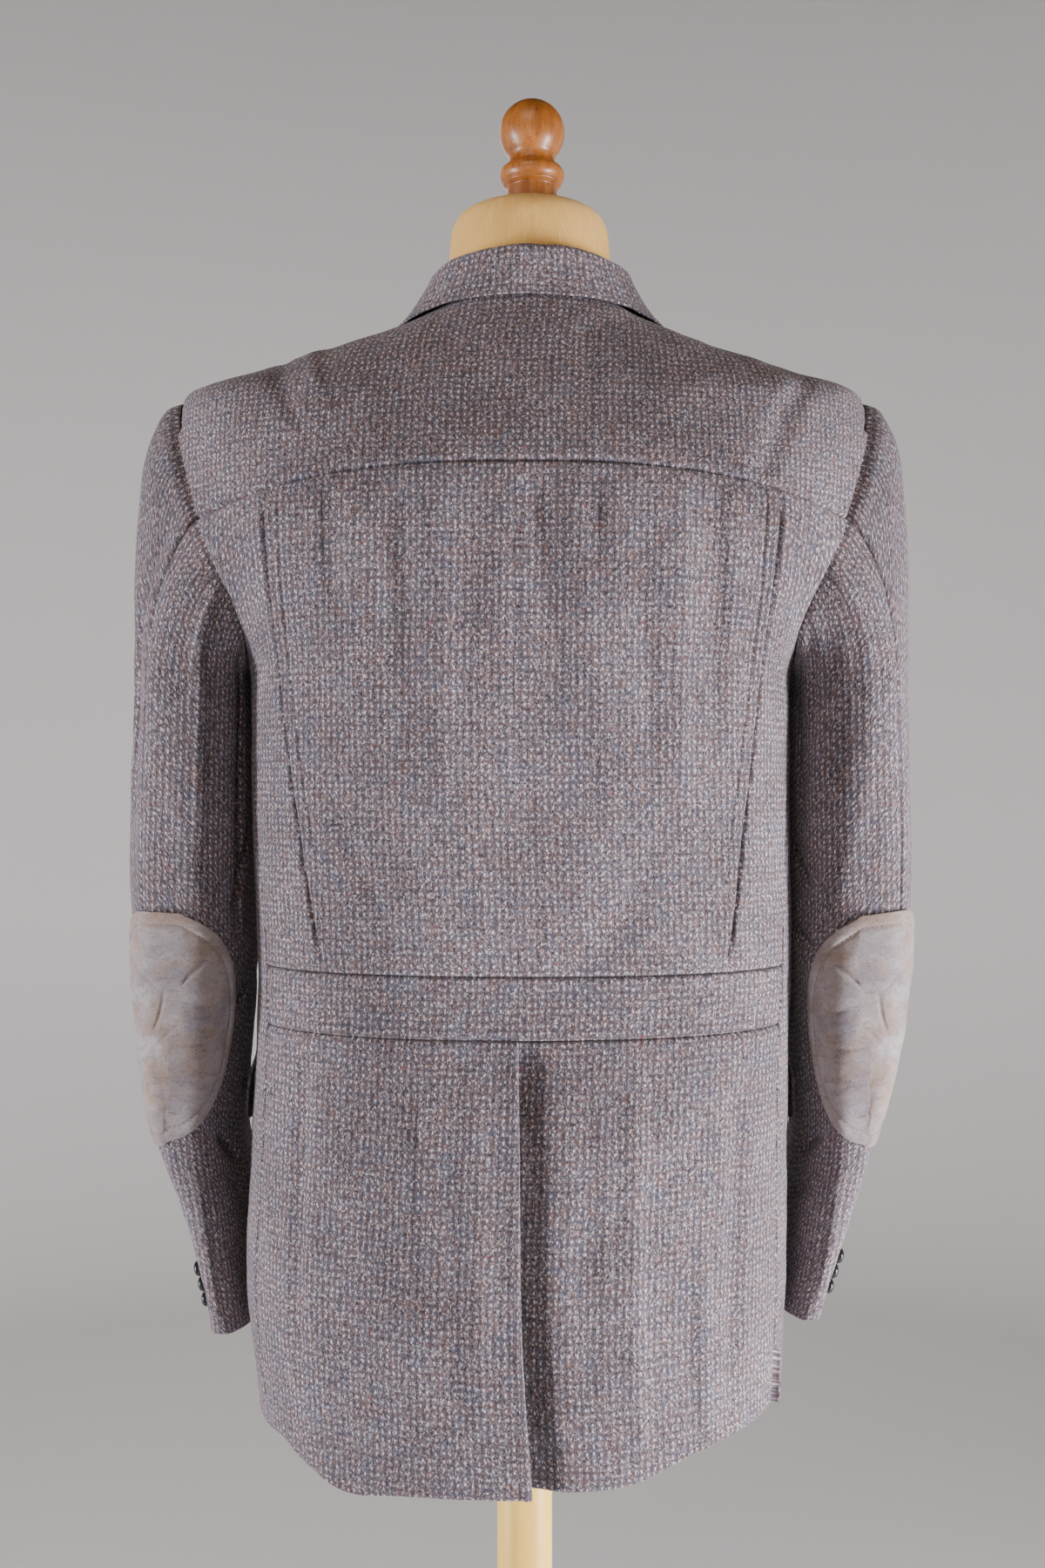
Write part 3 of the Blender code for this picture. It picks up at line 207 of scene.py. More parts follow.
# turn, half_turn, high, low, depth: the creases that the solids have too
LEFT_SLEEVE_FOLDS = (
    (128.0, 30.0, 1.37, 1.02, 0.006), (64.0, 24.0, 1.29, 1.08, 0.003), (30.0, 26.0, 1.0, 0.8, 0.003),
)
RIGHT_SLEEVE_FOLDS = (
    (70.0, 26.0, 1.31, 1.09, 0.0036), (126.0, 26.0, 1.33, 1.12, 0.0024), (34.0, 26.0, 1.01, 0.83, 0.003),
)
CAP_LEAVE_LOW = 0.9      # how strongly the sleeve leaves the armhole at its foot, and at its top
CAP_LEAVE = 0.62
CAP_DIRECTION = ((0.55, 1.0), 0.3, (-0.85, -0.42))  # out at foot and top, forward, down
CAP_LAND = 1.15
CAP_LENGTH = 0.155
SLEEVE_LENGTH = 0.455    # below the cap
SLEEVE_FULL = 0.62       # a sleeve's back is flatter than an ellipse's end
HINDARM = 116.55         # turn of the hindarm seam, in degrees, and of the forearm seam
FOREARM = -70.0
SLEEVE_SHEETS = ((FOREARM, HINDARM, 0.205, 31.0), (HINDARM, FOREARM + 360.0, 0.19, 37.0))

ELBOW_TURNS = (37.0, 172.0)
ELBOW_Z = 0.98
ELBOW_HALF_HEIGHT = 0.0825
ELBOW_LIFT = 0.0011
ELBOW_SLANT = (0.0, 0.007)  # how much higher the outer end lies, on the left and the right
ELBOW_BORDER = 0.0065    # the border's stitching, in from the patch's edge
ELBOW_PUFF = 0.0007
ELBOW_RIM_PUFF = 0.0004
ELBOW_GROOVE = 0.0006
ELBOW_DENTS = 1.5        # strength of the patches' creases

# ---- cloth, seams and stitching
WALL = 0.0015            # the shells' wall
SUEDE_WALL = 0.0012
SEAM_REACH = 0.0026
SEAM_TURN = 0.003        # depth and reach of the sharp turn into a seam
SEAM_SHARP = 0.00065
ARMHOLE_FILL = 0.0032
ARMHOLE_FILL_REACH = 0.012
ARMHOLE_FILL_FROM = (1.27, 0.07)  # it begins at this height, and is whole this much higher
SLEEVE_HEAD = 0.0038     # how far the sleeve's head swells beside the armhole
SLEEVE_HEAD_REACH = (0.012, 0.06)
SLEEVE_HEAD_FROM = (1.3, 0.06)
ARMHOLE_DIP = 0.12       # share of a seam's dip that an armhole has
STITCH_DIP = 0.00045
STITCH_WIDE = 0.0013
FOLD_WALL = 0.003        # a folded edge, which is two layers
FOLD_REACH = 0.014
FOLD_EASE = 0.004
RIM_REACH = 0.006        # a free edge is drawn in over this width
CALM_START = 0.002       # creases fade out towards a seam over the calm reach
CALM_REACH = 0.012
CREASE_TIP = 0.55        # how wide a crease still is at its ends
SEAM_PRESS = 0.0         # the row stitched beside the centre seam
WOBBLE_LENGTHS = ((0.062, 0.083), (0.037, 0.051), (0.023, 0.029))
RIM_ANGLES = (45.0, 90.0, 135.0)
CLOSE_ROWS = (0.0, 0.0003, 0.0007, 0.0013, 0.0022, 0.0036, 0.0056)
PUCKER_LENGTH = 0.017    # from one pucker along a seam to the next
PUCKER_AT = 0.006
SIDES = ((1, "left"), (-1, "right"))

# u_high, v_high, u_low, v_low, half_width, depth, bow: creases in the cloth's own sizes
BACK_CREASES = (
    (0.129, 1.352, 0.126, 1.27, 0.009, 0.0022, 0.001), (0.083, 1.36, 0.0745, 1.18, 0.015, 0.0024, 0.001),
    (0.0355, 1.31, 0.034, 1.21, 0.01, 0.0016, 0.001), (-0.0075, 1.36, -0.025, 1.2, 0.015, 0.0024, 0.001),
    (-0.049, 1.353, -0.05, 1.29, 0.009, 0.0018, 0.0), (-0.078, 1.34, -0.086, 1.155, 0.013, 0.0032, 0.001),
    (-0.127, 1.356, -0.132, 1.165, 0.012, 0.0034, 0.001), (0.109, 1.352, 0.107, 1.17, 0.01, -0.0022, 0.001),
    (0.054, 1.352, 0.05, 1.14, 0.011, -0.0024, 0.001), (0.0155, 1.35, 0.01, 1.19, 0.01, -0.0018, 0.0),
    (-0.029, 1.352, -0.06, 1.12, 0.011, -0.0024, 0.002),
    (-0.104, 1.356, -0.106, 1.14, 0.012, -0.0028, 0.001), (-0.002, 1.185, -0.006, 1.03, 0.01, 0.0016, 0.0),
    (0.029, 1.15, 0.026, 1.035, 0.015, -0.0012, 0.001),
    (-0.042, 1.13, -0.038, 1.035, 0.016, -0.0012, -0.001), (0.125, 1.14, 0.088, 1.03, 0.013, 0.0022, 0.003),
    (-0.092, 1.12, -0.056, 1.03, 0.015, 0.002, -0.003), (0.076, 1.11, 0.064, 1.035, 0.011, -0.001, 0.0),
)
YOKE_CREASES = (
    (0.19, 1.47, 0.15, 1.39, 0.012, 0.0026, 0.003), (0.17, 1.48, 0.13, 1.4, 0.01, -0.0018, 0.003),
    (-0.2, 1.44, -0.16, 1.35, 0.014, 0.0029, -0.004), (-0.04, 1.48, -0.045, 1.4, 0.012, 0.0015, 0.001),
    (0.03, 1.47, 0.042, 1.38, 0.014, 0.0013, 0.001),
)
SKIRT_CREASES = (
    (0.03, 0.97, 0.025, 0.74, 0.012, -0.0026, 0.003), (0.15, 0.975, 0.152, 0.76, 0.012, 0.0031, -0.003),
    (0.07, 0.96, 0.062, 0.82, 0.01, 0.0021, 0.002), (-0.04, 0.96, -0.045, 0.76, 0.014, 0.0026, 0.002),
    (-0.075, 0.975, -0.08, 0.72, 0.013, -0.0031, -0.003), (-0.15, 0.95, -0.148, 0.73, 0.013, 0.0034, 0.003),
    (-0.125, 0.86, -0.128, 0.71, 0.01, -0.0026, 0.0),
)
# u is counted from the centre front on the fronts
FRONT_CREASES = (
    (0.13, 1.29, 0.04, 1.12, 0.014, 0.0036, 0.006), (0.15, 1.24, 0.05, 1.09, 0.012, 0.0028, 0.008),
    (0.15, 1.12, 0.04, 1.105, 0.012, 0.0022, 0.004), (0.16, 1.06, 0.03, 1.1, 0.012, 0.0024, -0.004),
    (0.19, 1.08, 0.17, 0.97, 0.012, 0.0024, 0.002), (0.15, 1.4, 0.135, 1.29, 0.013, 0.0028, 0.003),
    (0.03, 0.88, 0.05, 0.74, 0.014, 0.002, 0.003), (0.13, 0.78, 0.135, 0.715, 0.014, 0.002, 0.0),
)
# the same columns on a sleeve: u runs round it from the body side, v is the height
LEFT_SLEEVE_CREASES = (
    (0.089, 1.38, 0.08, 1.1, 0.007, -0.0052, 0.002), (0.15, 1.33, 0.148, 1.13, 0.01, 0.0057, -0.002),
    (0.035, 1.25, 0.042, 1.04, 0.009, 0.0052, 0.003), (0.015, 1.12, 0.05, 1.06, 0.007, 0.0042, 0.002),
    (0.02, 1.01, 0.055, 0.985, 0.006, 0.0042, 0.002), (0.045, 0.9, 0.01, 0.87, 0.007, 0.0042, 0.002),
    (0.13, 1.06, 0.18, 1.0, 0.01, 0.0047, 0.003), (0.2, 1.02, 0.15, 0.96, 0.009, 0.0036, 0.002),
    (0.14, 0.88, 0.125, 0.77, 0.008, 0.0042, 0.002), (0.065, 0.86, 0.062, 0.76, 0.007, 0.0036, 0.001),
    (-0.045, 1.06, -0.01, 0.99, 0.01, 0.0052, 0.003), (-0.05, 0.96, 0.005, 0.93, 0.009, 0.0052, 0.003),
    (-0.04, 0.88, 0.0, 0.85, 0.008, 0.0042, 0.002), (0.22, 1.3, 0.215, 1.1, 0.011, 0.0047, 0.003),
    (0.23, 0.98, 0.2, 0.93, 0.009, 0.0042, 0.002),
)
RIGHT_SLEEVE_CREASES = (
    (0.095, 1.37, 0.098, 1.14, 0.008, -0.0019, -0.002), (0.06, 1.33, 0.056, 1.18, 0.009, 0.0023, 0.003),
    (0.025, 1.26, 0.04, 1.12, 0.008, 0.0021, 0.002), (0.015, 1.11, 0.052, 1.08, 0.007, 0.0038, 0.002),
    (0.018, 1.05, 0.056, 1.03, 0.007, 0.0038, -0.002), (0.048, 0.9, 0.012, 0.88, 0.007, 0.0038, 0.002),
    (0.048, 0.86, 0.008, 0.845, 0.006, 0.0025, 0.002), (0.135, 1.07, 0.185, 1.01, 0.01, 0.0034, 0.003),
    (0.145, 0.89, 0.13, 0.78, 0.008, 0.0034, -0.002), (0.065, 0.86, 0.064, 0.77, 0.007, 0.0025, 0.001),
    (-0.045, 1.05, -0.008, 0.985, 0.01, 0.0042, 0.003), (-0.048, 0.95, 0.005, 0.925, 0.009, 0.0038, 0.003),
    (-0.04, 0.87, 0.0, 0.845, 0.008, 0.0034, 0.002), (0.218, 1.31, 0.215, 1.11, 0.011, 0.0021, 0.003),
    (0.225, 0.99, 0.195, 0.94, 0.009, 0.0029, 0.002),
)
# across the collar from its middle, and down from its foot over the roll
COLLAR_CREASES = (
    (-0.06, -0.034, -0.075, -0.07, 0.008, 0.0007, 0.001),
    (0.05, -0.036, 0.062, -0.066, 0.009, 0.0006, 0.001),
    (-0.01, -0.04, -0.004, -0.068, 0.01, 0.0005, 0.001),
)
# across, up, to across, to up, half_width, depth, bow: in shares of a patch's half sizes
PATCH_CREASES = (
    (-0.62, 0.7, -0.1, 0.34, 0.03, 0.03, 0.04), (-0.1, 0.34, 0.4, 0.62, 0.026, 0.022, -0.03),
    (-0.12, 0.36, -0.02, -0.06, 0.03, 0.026, 0.03), (-0.86, 0.16, -0.42, 0.24, 0.02, 0.016, 0.02),
    (-0.84, 0.0, -0.3, -0.1, 0.022, 0.02, 0.05), (-0.78, -0.16, -0.36, -0.18, 0.018, 0.014, -0.03),
    (-0.74, -0.3, -0.12, -0.4, 0.024, 0.024, 0.04), (-0.66, -0.46, -0.26, -0.44, 0.018, 0.014, -0.02),
    (-0.58, -0.58, 0.0, -0.7, 0.024, 0.03, 0.03), (-0.4, -0.76, 0.14, -0.8, 0.018, 0.018, 0.02),
    (0.02, 0.1, 0.44, 0.02, 0.024, 0.018, -0.04), (0.06, -0.14, 0.6, -0.24, 0.026, 0.02, 0.05),
    (0.16, -0.36, 0.56, -0.34, 0.02, 0.014, -0.02), (0.1, -0.56, 0.5, -0.5, 0.024, 0.02, 0.03),
    (0.3, 0.44, 0.66, 0.2, 0.026, 0.016, 0.03), (-0.3, 0.06, 0.02, -0.26, 0.022, 0.016, -0.02),
)


# ---- numbers
def smooth(t):
    t = np.clip(t, 0.0, 1.0)
    return t * t * (3 - 2 * t)


def mix(a, b, t):
    return a + (b - a) * t


def bell(t):
    """One in the middle, and nought from one on either side."""
    return np.clip(1.0 - t * t, 0.0, None) ** 2


def hermite(a, b, slope_a, slope_b, t):
    s = 1.0 - t
    return a * s * s * (1 + 2 * t) + b * t * t * (3 - 2 * t) + slope_a * t * s * s - slope_b * t * t * s


def table(rows, at):
    """Every further column of a table, on a smooth curve through its rows, for an array of keys."""
    rows = np.array(rows)
    if rows[0, 0] > rows[-1, 0]:
        rows = rows[::-1]
    keys = rows[:, 0]
    last = len(keys) - 1
    at = np.clip(at, keys[0], keys[-1])
    k = np.clip(np.searchsorted(keys, at, side="right") - 1, 0, last - 1)
    span = keys[k + 1] - keys[k]
    lower = np.maximum(np.arange(last + 1) - 1, 0)
    upper = np.minimum(np.arange(last + 1) + 1, last)
    slopes = (rows[upper, 1:] - rows[lower, 1:]) / (keys[upper] - keys[lower])[:, None]
    t = ((at - keys[k]) / span)[..., None]
    wide = span[..., None]
    found = hermite(rows[k, 1:], rows[k + 1, 1:], slopes[k] * wide, slopes[k + 1] * wide, t)
    return np.moveaxis(found, -1, 0)


def unit(vectors):
    return vectors / np.maximum(np.linalg.norm(vectors, axis=-1, keepdims=True), 1e-12)


def grid_of(rows, columns):
    """The rows' values and the columns' values, each as a full grid."""
    return np.meshgrid(rows, columns, indexing="ij")


def level_part(vectors):
    return vectors * np.array([1.0, 1.0, 0.0])


def run(points, axis):
    """Distance along the rows or columns of a grid, from its first one."""
    steps = np.linalg.norm(np.diff(points, axis=axis), axis=-1)
    first = np.zeros_like(np.take(steps, [0], axis=axis))
    return np.concatenate([first, np.cumsum(steps, axis=axis)], axis=axis)


# ---- the body's surface
def fold_depth(x, level):
    depth = np.zeros(np.broadcast(x, level).shape)
    for x_high, high, x_low, low, half_width, deep in BACK_FOLDS:
        share = (high - level) / (high - low)
        off = (x - mix(x_high, x_low, share)) / half_width
        held = smooth(share / FOLD_STARTS) * smooth((1.0 - share) / FOLD_FADES)
        depth += np.where((share > 0) & (share < 1), deep * held * bell(off), 0.0)
    return depth


def body_point(turn, level, side):
    """Points of the jacket's outer face. turn is in radians from the centre back."""
    side_z, front_z, half, back_y, front_y, mid_y, square, taper, lean = table(BODY_STATIONS, level)
    across = np.sin(turn)
    along = np.cos(turn)
    power = 2.0 / square
    x = half * np.abs(across) ** power * np.sign(across)
    x = x * (1.0 - taper * np.maximum(along, 0.0) ** 2)
    y = mid_y + (np.where(along >= 0, back_y, front_y) - mid_y) * np.abs(along) ** power
    z = side_z + (np.where(along >= 0, level, front_z) - side_z) * along ** 2
    y = y - fold_depth(side * x, level) * np.maximum(along, 0.0) ** 0.5
    return np.stack([side * x + lean, y, z], axis=-1)


def turn_at(x, level, front=False):
    _, _, half, _, _, _, square, taper, _ = table(BODY_STATIONS, level)
    share = np.minimum(np.abs(x) / half, 1.0)
    turn = np.arcsin(share ** (square / 2.0))
    if front:
        return math.pi - turn
    for _ in range(6):
        wide = np.minimum(share / (1.0 - taper * np.cos(turn) ** 2), 1.0)
        turn = np.arcsin(wide ** (square / 2.0))
    return np.where(x < 0, -turn, turn)


def scye_level(turn):
    return (SCYE_LOW + SCYE_TOP) / 2 - (SCYE_TOP - SCYE_LOW) / 2 * np.cos(turn)


def side_edge(level, back):
    """Turn of the side seam, then of the armhole's edge, then of the shoulder seam."""
    share = np.clip((level - SCYE_LOW) / (SCYE_TOP - SCYE_LOW), 0.0, 1.0)
    centre = mix(SIDE_SEAM[-1][1], SCYE_TOP_DEGREES, share)
    opening = np.sqrt(np.maximum(1.0 - (2 * share - 1) ** 2, 0.0))
    spread = -SCYE_BACK_SPREAD if back else SCYE_FRONT_SPREAD
    seam = table(SIDE_SEAM, level)[0]
    return np.radians(np.where(level <= SCYE_LOW, seam, centre + spread * opening))


def pleat_turn(level):
    return turn_at(table(PLEAT_FOLD, level)[0], level)


def roll_x(level):
    share = np.clip((level - BREAK) / (NECK_SEAM - BREAK), 0.0, None)
    return ROLL_NECK_X * share ** ROLL_CURVE


def front_edge(level):
    """Turn at which a front ends. It passes the centre line below the break."""
    eased = smooth((level - BREAK) / BREAK_EASE)
    rolled = turn_at(roll_x(level), level, True) + FRONT_LAP / FRONT_RADIUS * (1 - eased)
    cut = np.clip((CUTAWAY_START - level) / (CUTAWAY_START - HEM), 0.0, None) ** CUTAWAY_CURVE
    lap = FRONT_LAP - (FRONT_LAP + CUTAWAY_X) * cut
    passed = turn_at(np.abs(lap), level, True)
    lower = np.where(lap >= 0, 2 * math.pi - passed, passed)
    return np.where(level >= BREAK, rolled, lower)


def hem_level(turn, level, side):
    left, right = table(HEM_SHIFT, np.degrees(np.abs(turn)))
    shift = np.where(side > 0, left, right)
    share = np.clip((level - HEM) / (HEM_REACH - HEM), 0.0, 1.0)
    return level + shift * (1 - share)


def vent_x(level):
    return mix(VENT_TOP_X, VENT_HEM_X, (BELT_LOW - level) / (BELT_LOW - HEM))


def rows_of(low, high, step):
    """Levels of a panel's rows: close by its seams, even elsewhere, or even round the armhole."""
    levels = [low + np.array(CLOSE_ROWS), high - np.array(CLOSE_ROWS)]
    for start, end, size in ((HEM, SCYE_LOW, step), (SCYE_TOP, NECK_SEAM, step * 0.5)):
        a = max(start, low)
        b = min(end, high)
        if b > a:
            levels.append(np.linspace(a, b, max(int(round((b - a) / size)), 1) + 1))
    scye = scye_level(np.linspace(0, math.pi, int(round(SCYE_EDGE / step)) + 1))
    if high > SCYE_LOW:
        levels.append(scye[(scye > max(low, SCYE_LOW) + 1e-5) & (scye < min(high, SCYE_TOP) - 1e-5)])
        levels.append(np.array([max(low, SCYE_LOW), min(high, NECK_SEAM)]))
    levels = np.sort(np.concatenate(levels))
    levels = levels[np.concatenate([[True], np.diff(levels) > CLOSE_ROWS[1] * 0.8])]
    levels[-1] = high
    return levels


def columns_of(width, step, extra=()):
    """Shares of a panel's width: close by both edges and at the extra shares, and even elsewhere."""
    near = np.array(CLOSE_ROWS) / width
    even = np.linspace(near[-1], 1 - near[-1], max(int(round((width - 2 * CLOSE_ROWS[-1]) / step)), 3))
    shares = np.concatenate([near[:-1], even, (1 - near[:-1])[::-1]])
    if len(extra):
        extra = np.asarray(extra)
        clear = np.abs(shares[:, None] - extra[None, :]).min(1) > 0.0008 / width
        clear[[0, -1]] = True
        shares = np.sort(np.concatenate([shares[clear], extra]))
    return shares


ROUND_TURNS = np.linspace(0.0, math.pi + 0.3, 300)
ROUND_LEVELS = np.linspace(BODY_STATIONS[0][0], NECK_SEAM, 120)


def ring_lengths():
    level, turn = grid_of(ROUND_LEVELS, ROUND_TURNS)
    return run(level_part(body_point(turn, level, 1.0)), 1)


ROUND_LENGTHS = ring_lengths()


def ring_number(level):
    """Where a level lies among the measured rings, in rings from the lowest."""
    number = (level - ROUND_LEVELS[0]) / (ROUND_LEVELS[1] - ROUND_LEVELS[0])
    return np.clip(number, 0, len(ROUND_LEVELS) - 1.001)


def around_body(turn, level):
    """Distance round the body from the centre back, at one level."""
    at_level = ring_number(level)
    at_turn = np.clip(np.abs(turn) / ROUND_TURNS[1], 0, len(ROUND_TURNS) - 1.001)
    i = at_level.astype(int)
    j = at_turn.astype(int)
    p = at_level - i
    q = at_turn - j
    low = ROUND_LENGTHS[i, j] * (1 - q) + ROUND_LENGTHS[i, j + 1] * q
    high = ROUND_LENGTHS[i + 1, j] * (1 - q) + ROUND_LENGTHS[i + 1, j + 1] * q
    return (low * (1 - p) + high * p) * np.sign(turn)


def even_turns(start, end, level, share):
    """Turns between two edges, evenly spaced in distance round the body."""
    a = around_body(start, level)
    b = around_body(end, level)
    wanted = mix(a, b, share)
    found = np.zeros(wanted.shape)
    for r in range(wanted.shape[0]):
        at = ring_number(level[r, 0])
        k = int(at)
        lengths = mix(ROUND_LENGTHS[k], ROUND_LENGTHS[k + 1], at - k)
        found[r] = np.interp(np.abs(wanted[r]), lengths, ROUND_TURNS) * np.sign(wanted[r])
    found[:, :1] = start[:, :1]
    found[:, -1:] = end[:, -1:]
    return found


def cloth_height(points):
    """The cloth's own height: it runs up the piece, however the surface leans."""
    flat = points * np.array([0.0, 1.0, 1.0])
    return points[:1, :, 2] + run(flat, 0)


# ---- relief of the cloth
def crease_depth(u, v, rows):
    depth = np.zeros(u.shape)
    for u_high, v_high, u_low, v_low, half, deep, bow in rows:
        run_u = u_low - u_high
        run_v = v_low - v_high
        length = math.hypot(run_u, run_v)
        t = ((u - u_high) * run_u + (v - v_high) * run_v) / length ** 2
        off = ((u - u_high) * run_v - (v - v_high) * run_u) / length
        off = off - bow * np.sin(math.pi * np.clip(t, 0, 1))
        held = np.sqrt(np.clip(1.0 - (2 * t - 1) ** 2, 0.0, None))
        depth += deep * held * bell(off / (half * mix(CREASE_TIP, 1.0, held)))
    return depth


def wobble(u, v, seed, size=0.00035):
    """Slow unevenness of hand-pressed cloth."""
    total = np.zeros(u.shape)
    for k, (length_u, length_v) in enumerate(WOBBLE_LENGTHS):
        phase = seed * 1.7 + k * 2.1
        wave_u = np.sin(2 * math.pi * (u / length_u + 0.31 * v / length_v) + phase)
        wave_v = np.cos(2 * math.pi * (v / length_v - 0.27 * u / length_u) + phase * 1.3)
        total += wave_u * wave_v / (k + 1)
    return total * size


def face_right(grid, side):
    """Turns a grid so that the named side becomes its last column."""
    if side == "left":
        return grid[:, ::-1]
    if side == "high":
        return np.swapaxes(grid, 0, 1)
    if side == "low":
        return np.swapaxes(grid[::-1], 0, 1)
    return grid


def face_back(grid, side):
    if side == "low":
        return np.swapaxes(grid, 0, 1)[::-1]
    return face_right(grid, side)


def edge_distance(points, side):
    if side in ("left", "right"):
        along = run(points, 1)
        return along if side == "left" else along[:, -1:] - along
    along = run(points, 0)
    return along if side == "low" else along[-1:] - along


def jacket_sizes():
    return bpy.context.scene.hacking_jacket


def ridge(near, at, wide):
    """One at a distance from an edge, falling off softly to either side."""
    return np.exp(-((near - at) / wide) ** 2)


def seam_dip(near):
    """The cloth sinks softly towards a seam, and then turns sharply into it."""
    return jacket_sizes().seam_dip * ridge(near, 0.0, SEAM_REACH) + SEAM_TURN * np.exp(-near / SEAM_SHARP)


def armhole_fill(near, height):
    """Body and sleeve come up to one smooth line at the armhole's upper part."""
    start, length = ARMHOLE_FILL_FROM
    return ARMHOLE_FILL * ridge(near, 0.0, ARMHOLE_FILL_REACH) * smooth((height - start) / length)


def relief(points, cloth, seams, stitches, creases, seed, puckers):
    """How far each point of a sheet moves out, for seams, stitching, creases and unevenness."""
    u = cloth[..., 0]
    v = cloth[..., 1]
    calm = np.ones(u.shape)
    off = np.zeros(u.shape)
    for side in seams:
        near = edge_distance(points, side)
        beside_sleeve = (v > SCYE_LOW - 0.006) & (v < SCYE_TOP) & (side in ("left", "right"))
        off -= seam_dip(near) * np.where(beside_sleeve, ARMHOLE_DIP, 1.0)
        off += np.where(beside_sleeve, armhole_fill(near, v), 0.0)
        calm *= smooth((near + CALM_START) / CALM_REACH)
        if puckers:
            along = u if side in ("low", "high") else v
            ripple = np.sin(along * 2 * math.pi / PUCKER_LENGTH + 1.9 * np.sin(along * 61 + seed))
            off += puckers * ripple * ridge(near, PUCKER_AT, PUCKER_AT)
    for side, inset in stitches:
        near = edge_distance(points, side)
        off -= STITCH_DIP * ridge(near, inset, STITCH_WIDE)
    off -= crease_depth(u, v, creases) * calm * jacket_sizes().crease_strength
    return off + wobble(u, v, seed) * calm


def turned_out(normals, out):
    return normals if (normals * out).sum() > 0 else -normals


def sheet_normals(points, out):
    """Unit normals of a grid. They all turn to the side that out, a guide, mostly lies on."""
    return turned_out(unit(np.cross(np.gradient(points, axis=1), np.gradient(points, axis=0))), out)


# ---- meshes
def draw_in(points, wall, seams):
    """A free edge's points go in by half the wall, for the rounded rim to end at the edge."""
    moved = points.copy()
    half = wall[..., None] / 2
    for side in ("left", "right", "low", "high"):
        if side not in seams:
            grid = face_right(points, side)
            inward = unit(grid[:, -2] - grid[:, -1])
            away = edge_distance(points, side)
            share = np.clip(1 - away / RIM_REACH, 0.0, 1.0)[..., None]
            pulled = inward[:, None] * face_right(half * share, side)
            moved = moved + face_back(pulled, side)
    return moved


def add_mesh(name, verts, faces, chart, material):
    mesh = bpy.data.meshes.new(name)
    mesh.from_pydata(np.asarray(verts).tolist(), [], faces if isinstance(faces, list) else faces.tolist())
    layer = mesh.uv_layers.new(name="cloth")
    corners = np.zeros(len(mesh.loops), dtype=int)
    mesh.loops.foreach_get("vertex_index", corners)
    layer.uv.foreach_set("vector", np.asarray(chart, dtype=np.float32)[corners].ravel())
    mesh.shade_smooth()
    mesh.materials.append(material)
    piece = bpy.data.objects.new(name, mesh)
    bpy.context.scene.collection.objects.link(piece)
    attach(piece, BODY)
    return piece


def tube_faces(index):
    """Quads between the rings of a tube, from the numbers of its points."""
    ahead = np.roll(index, -1, axis=1)
    return np.stack([index[:-1], index[1:], ahead[1:], ahead[:-1]], axis=-1).reshape(-1, 4)


def half_round_rim(points, ups, chart, onward, thick, edge, inside):
    """Points, chart and faces of a rim that runs from a wall's outer edge round to its inner one."""
    ahead = points[edge] - points[inside]
    ahead = unit(ahead - ups[edge] * (ahead * ups[edge]).sum(-1, keepdims=True))
    middle = points[edge] - ups[edge] * thick / 2
    verts = []
    charts = []
    rings = [edge]
    for k, angle in enumerate(np.radians(RIM_ANGLES)):
        bulge = ups[edge] * math.cos(angle) + ahead * math.sin(angle)
        verts.append(middle + bulge * thick / 2)
        charts.append(chart[edge] + onward * thick / 2 * angle)
        rings.append(2 * len(points) + k * len(edge) + np.arange(len(edge)))
    rings.append(edge + len(points))
    faces = [np.stack([ring, after, np.roll(after, -1), np.roll(ring, -1)], 1)
             for ring, after in zip(rings, rings[1:])]
    return verts, charts, faces


def shell(name, outer, normals, cloth, wall, material):
    """A closed wall under a grid of points. Its rim is half round."""
    rows, cols = outer.shape[:2]
    count = rows * cols
    index = np.arange(count).reshape(rows, cols)
    around = np.concatenate([index[0, :-1], index[:-1, -1], index[-1, :0:-1], index[:0:-1, 0]])
    inside = index[np.clip(around // cols, 1, rows - 2), np.clip(around % cols, 1, cols - 2)]
    flat = outer.reshape(-1, 3)
    up = normals.reshape(-1, 3)
    chart = cloth.reshape(-1, 2)
    thick = wall.reshape(-1, 1)
    onward = unit(chart[around] - chart[inside])
    verts, charts, rim = half_round_rim(flat, up, chart, onward, thick[around], around, inside)
    quads = np.stack([index[:-1, :-1], index[:-1, 1:], index[1:, 1:], index[1:, :-1]], -1).reshape(-1, 4)
    faces = np.concatenate([quads, quads[:, ::-1] + count, *rim])
    facing = np.cross(outer[0, 1] - outer[0, 0], outer[1, 0] - outer[0, 0])
    if (facing * normals[0, 0]).sum() < 0:
        faces = faces[:, ::-1]
    verts = np.concatenate([flat, flat - up * thick, *verts])
    return add_mesh(name, verts, faces, np.concatenate([chart, chart, *charts]), material)


def flat_sizes(cloth):
    """Width, length and area of a piece's flat pattern."""
    d1 = cloth[1:, 1:] - cloth[:-1, :-1]
    d2 = cloth[1:, :-1] - cloth[:-1, 1:]
    area = float(np.abs(d1[..., 0] * d2[..., 1] - d1[..., 1] * d2[..., 0]).sum() / 2)
    width = float(np.ptp(cloth[..., 0]))
    length = float(np.ptp(cloth[..., 1]))
    return (width, length), min(area, width * length)


def sew(node, sheet, folded=(), wall=WALL, name=None):
    """Makes a tweed piece, which stands for its CAD node."""
    points, normals, cloth, seams = sheet
    walls = folded_wall(points, folded, wall)
    moved = draw_in(points, walls, seams)
    piece = shell(name or "cloth_" + node, moved, normals, cloth, walls, tweed())
    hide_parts(node)
    flat, area = flat_sizes(cloth)


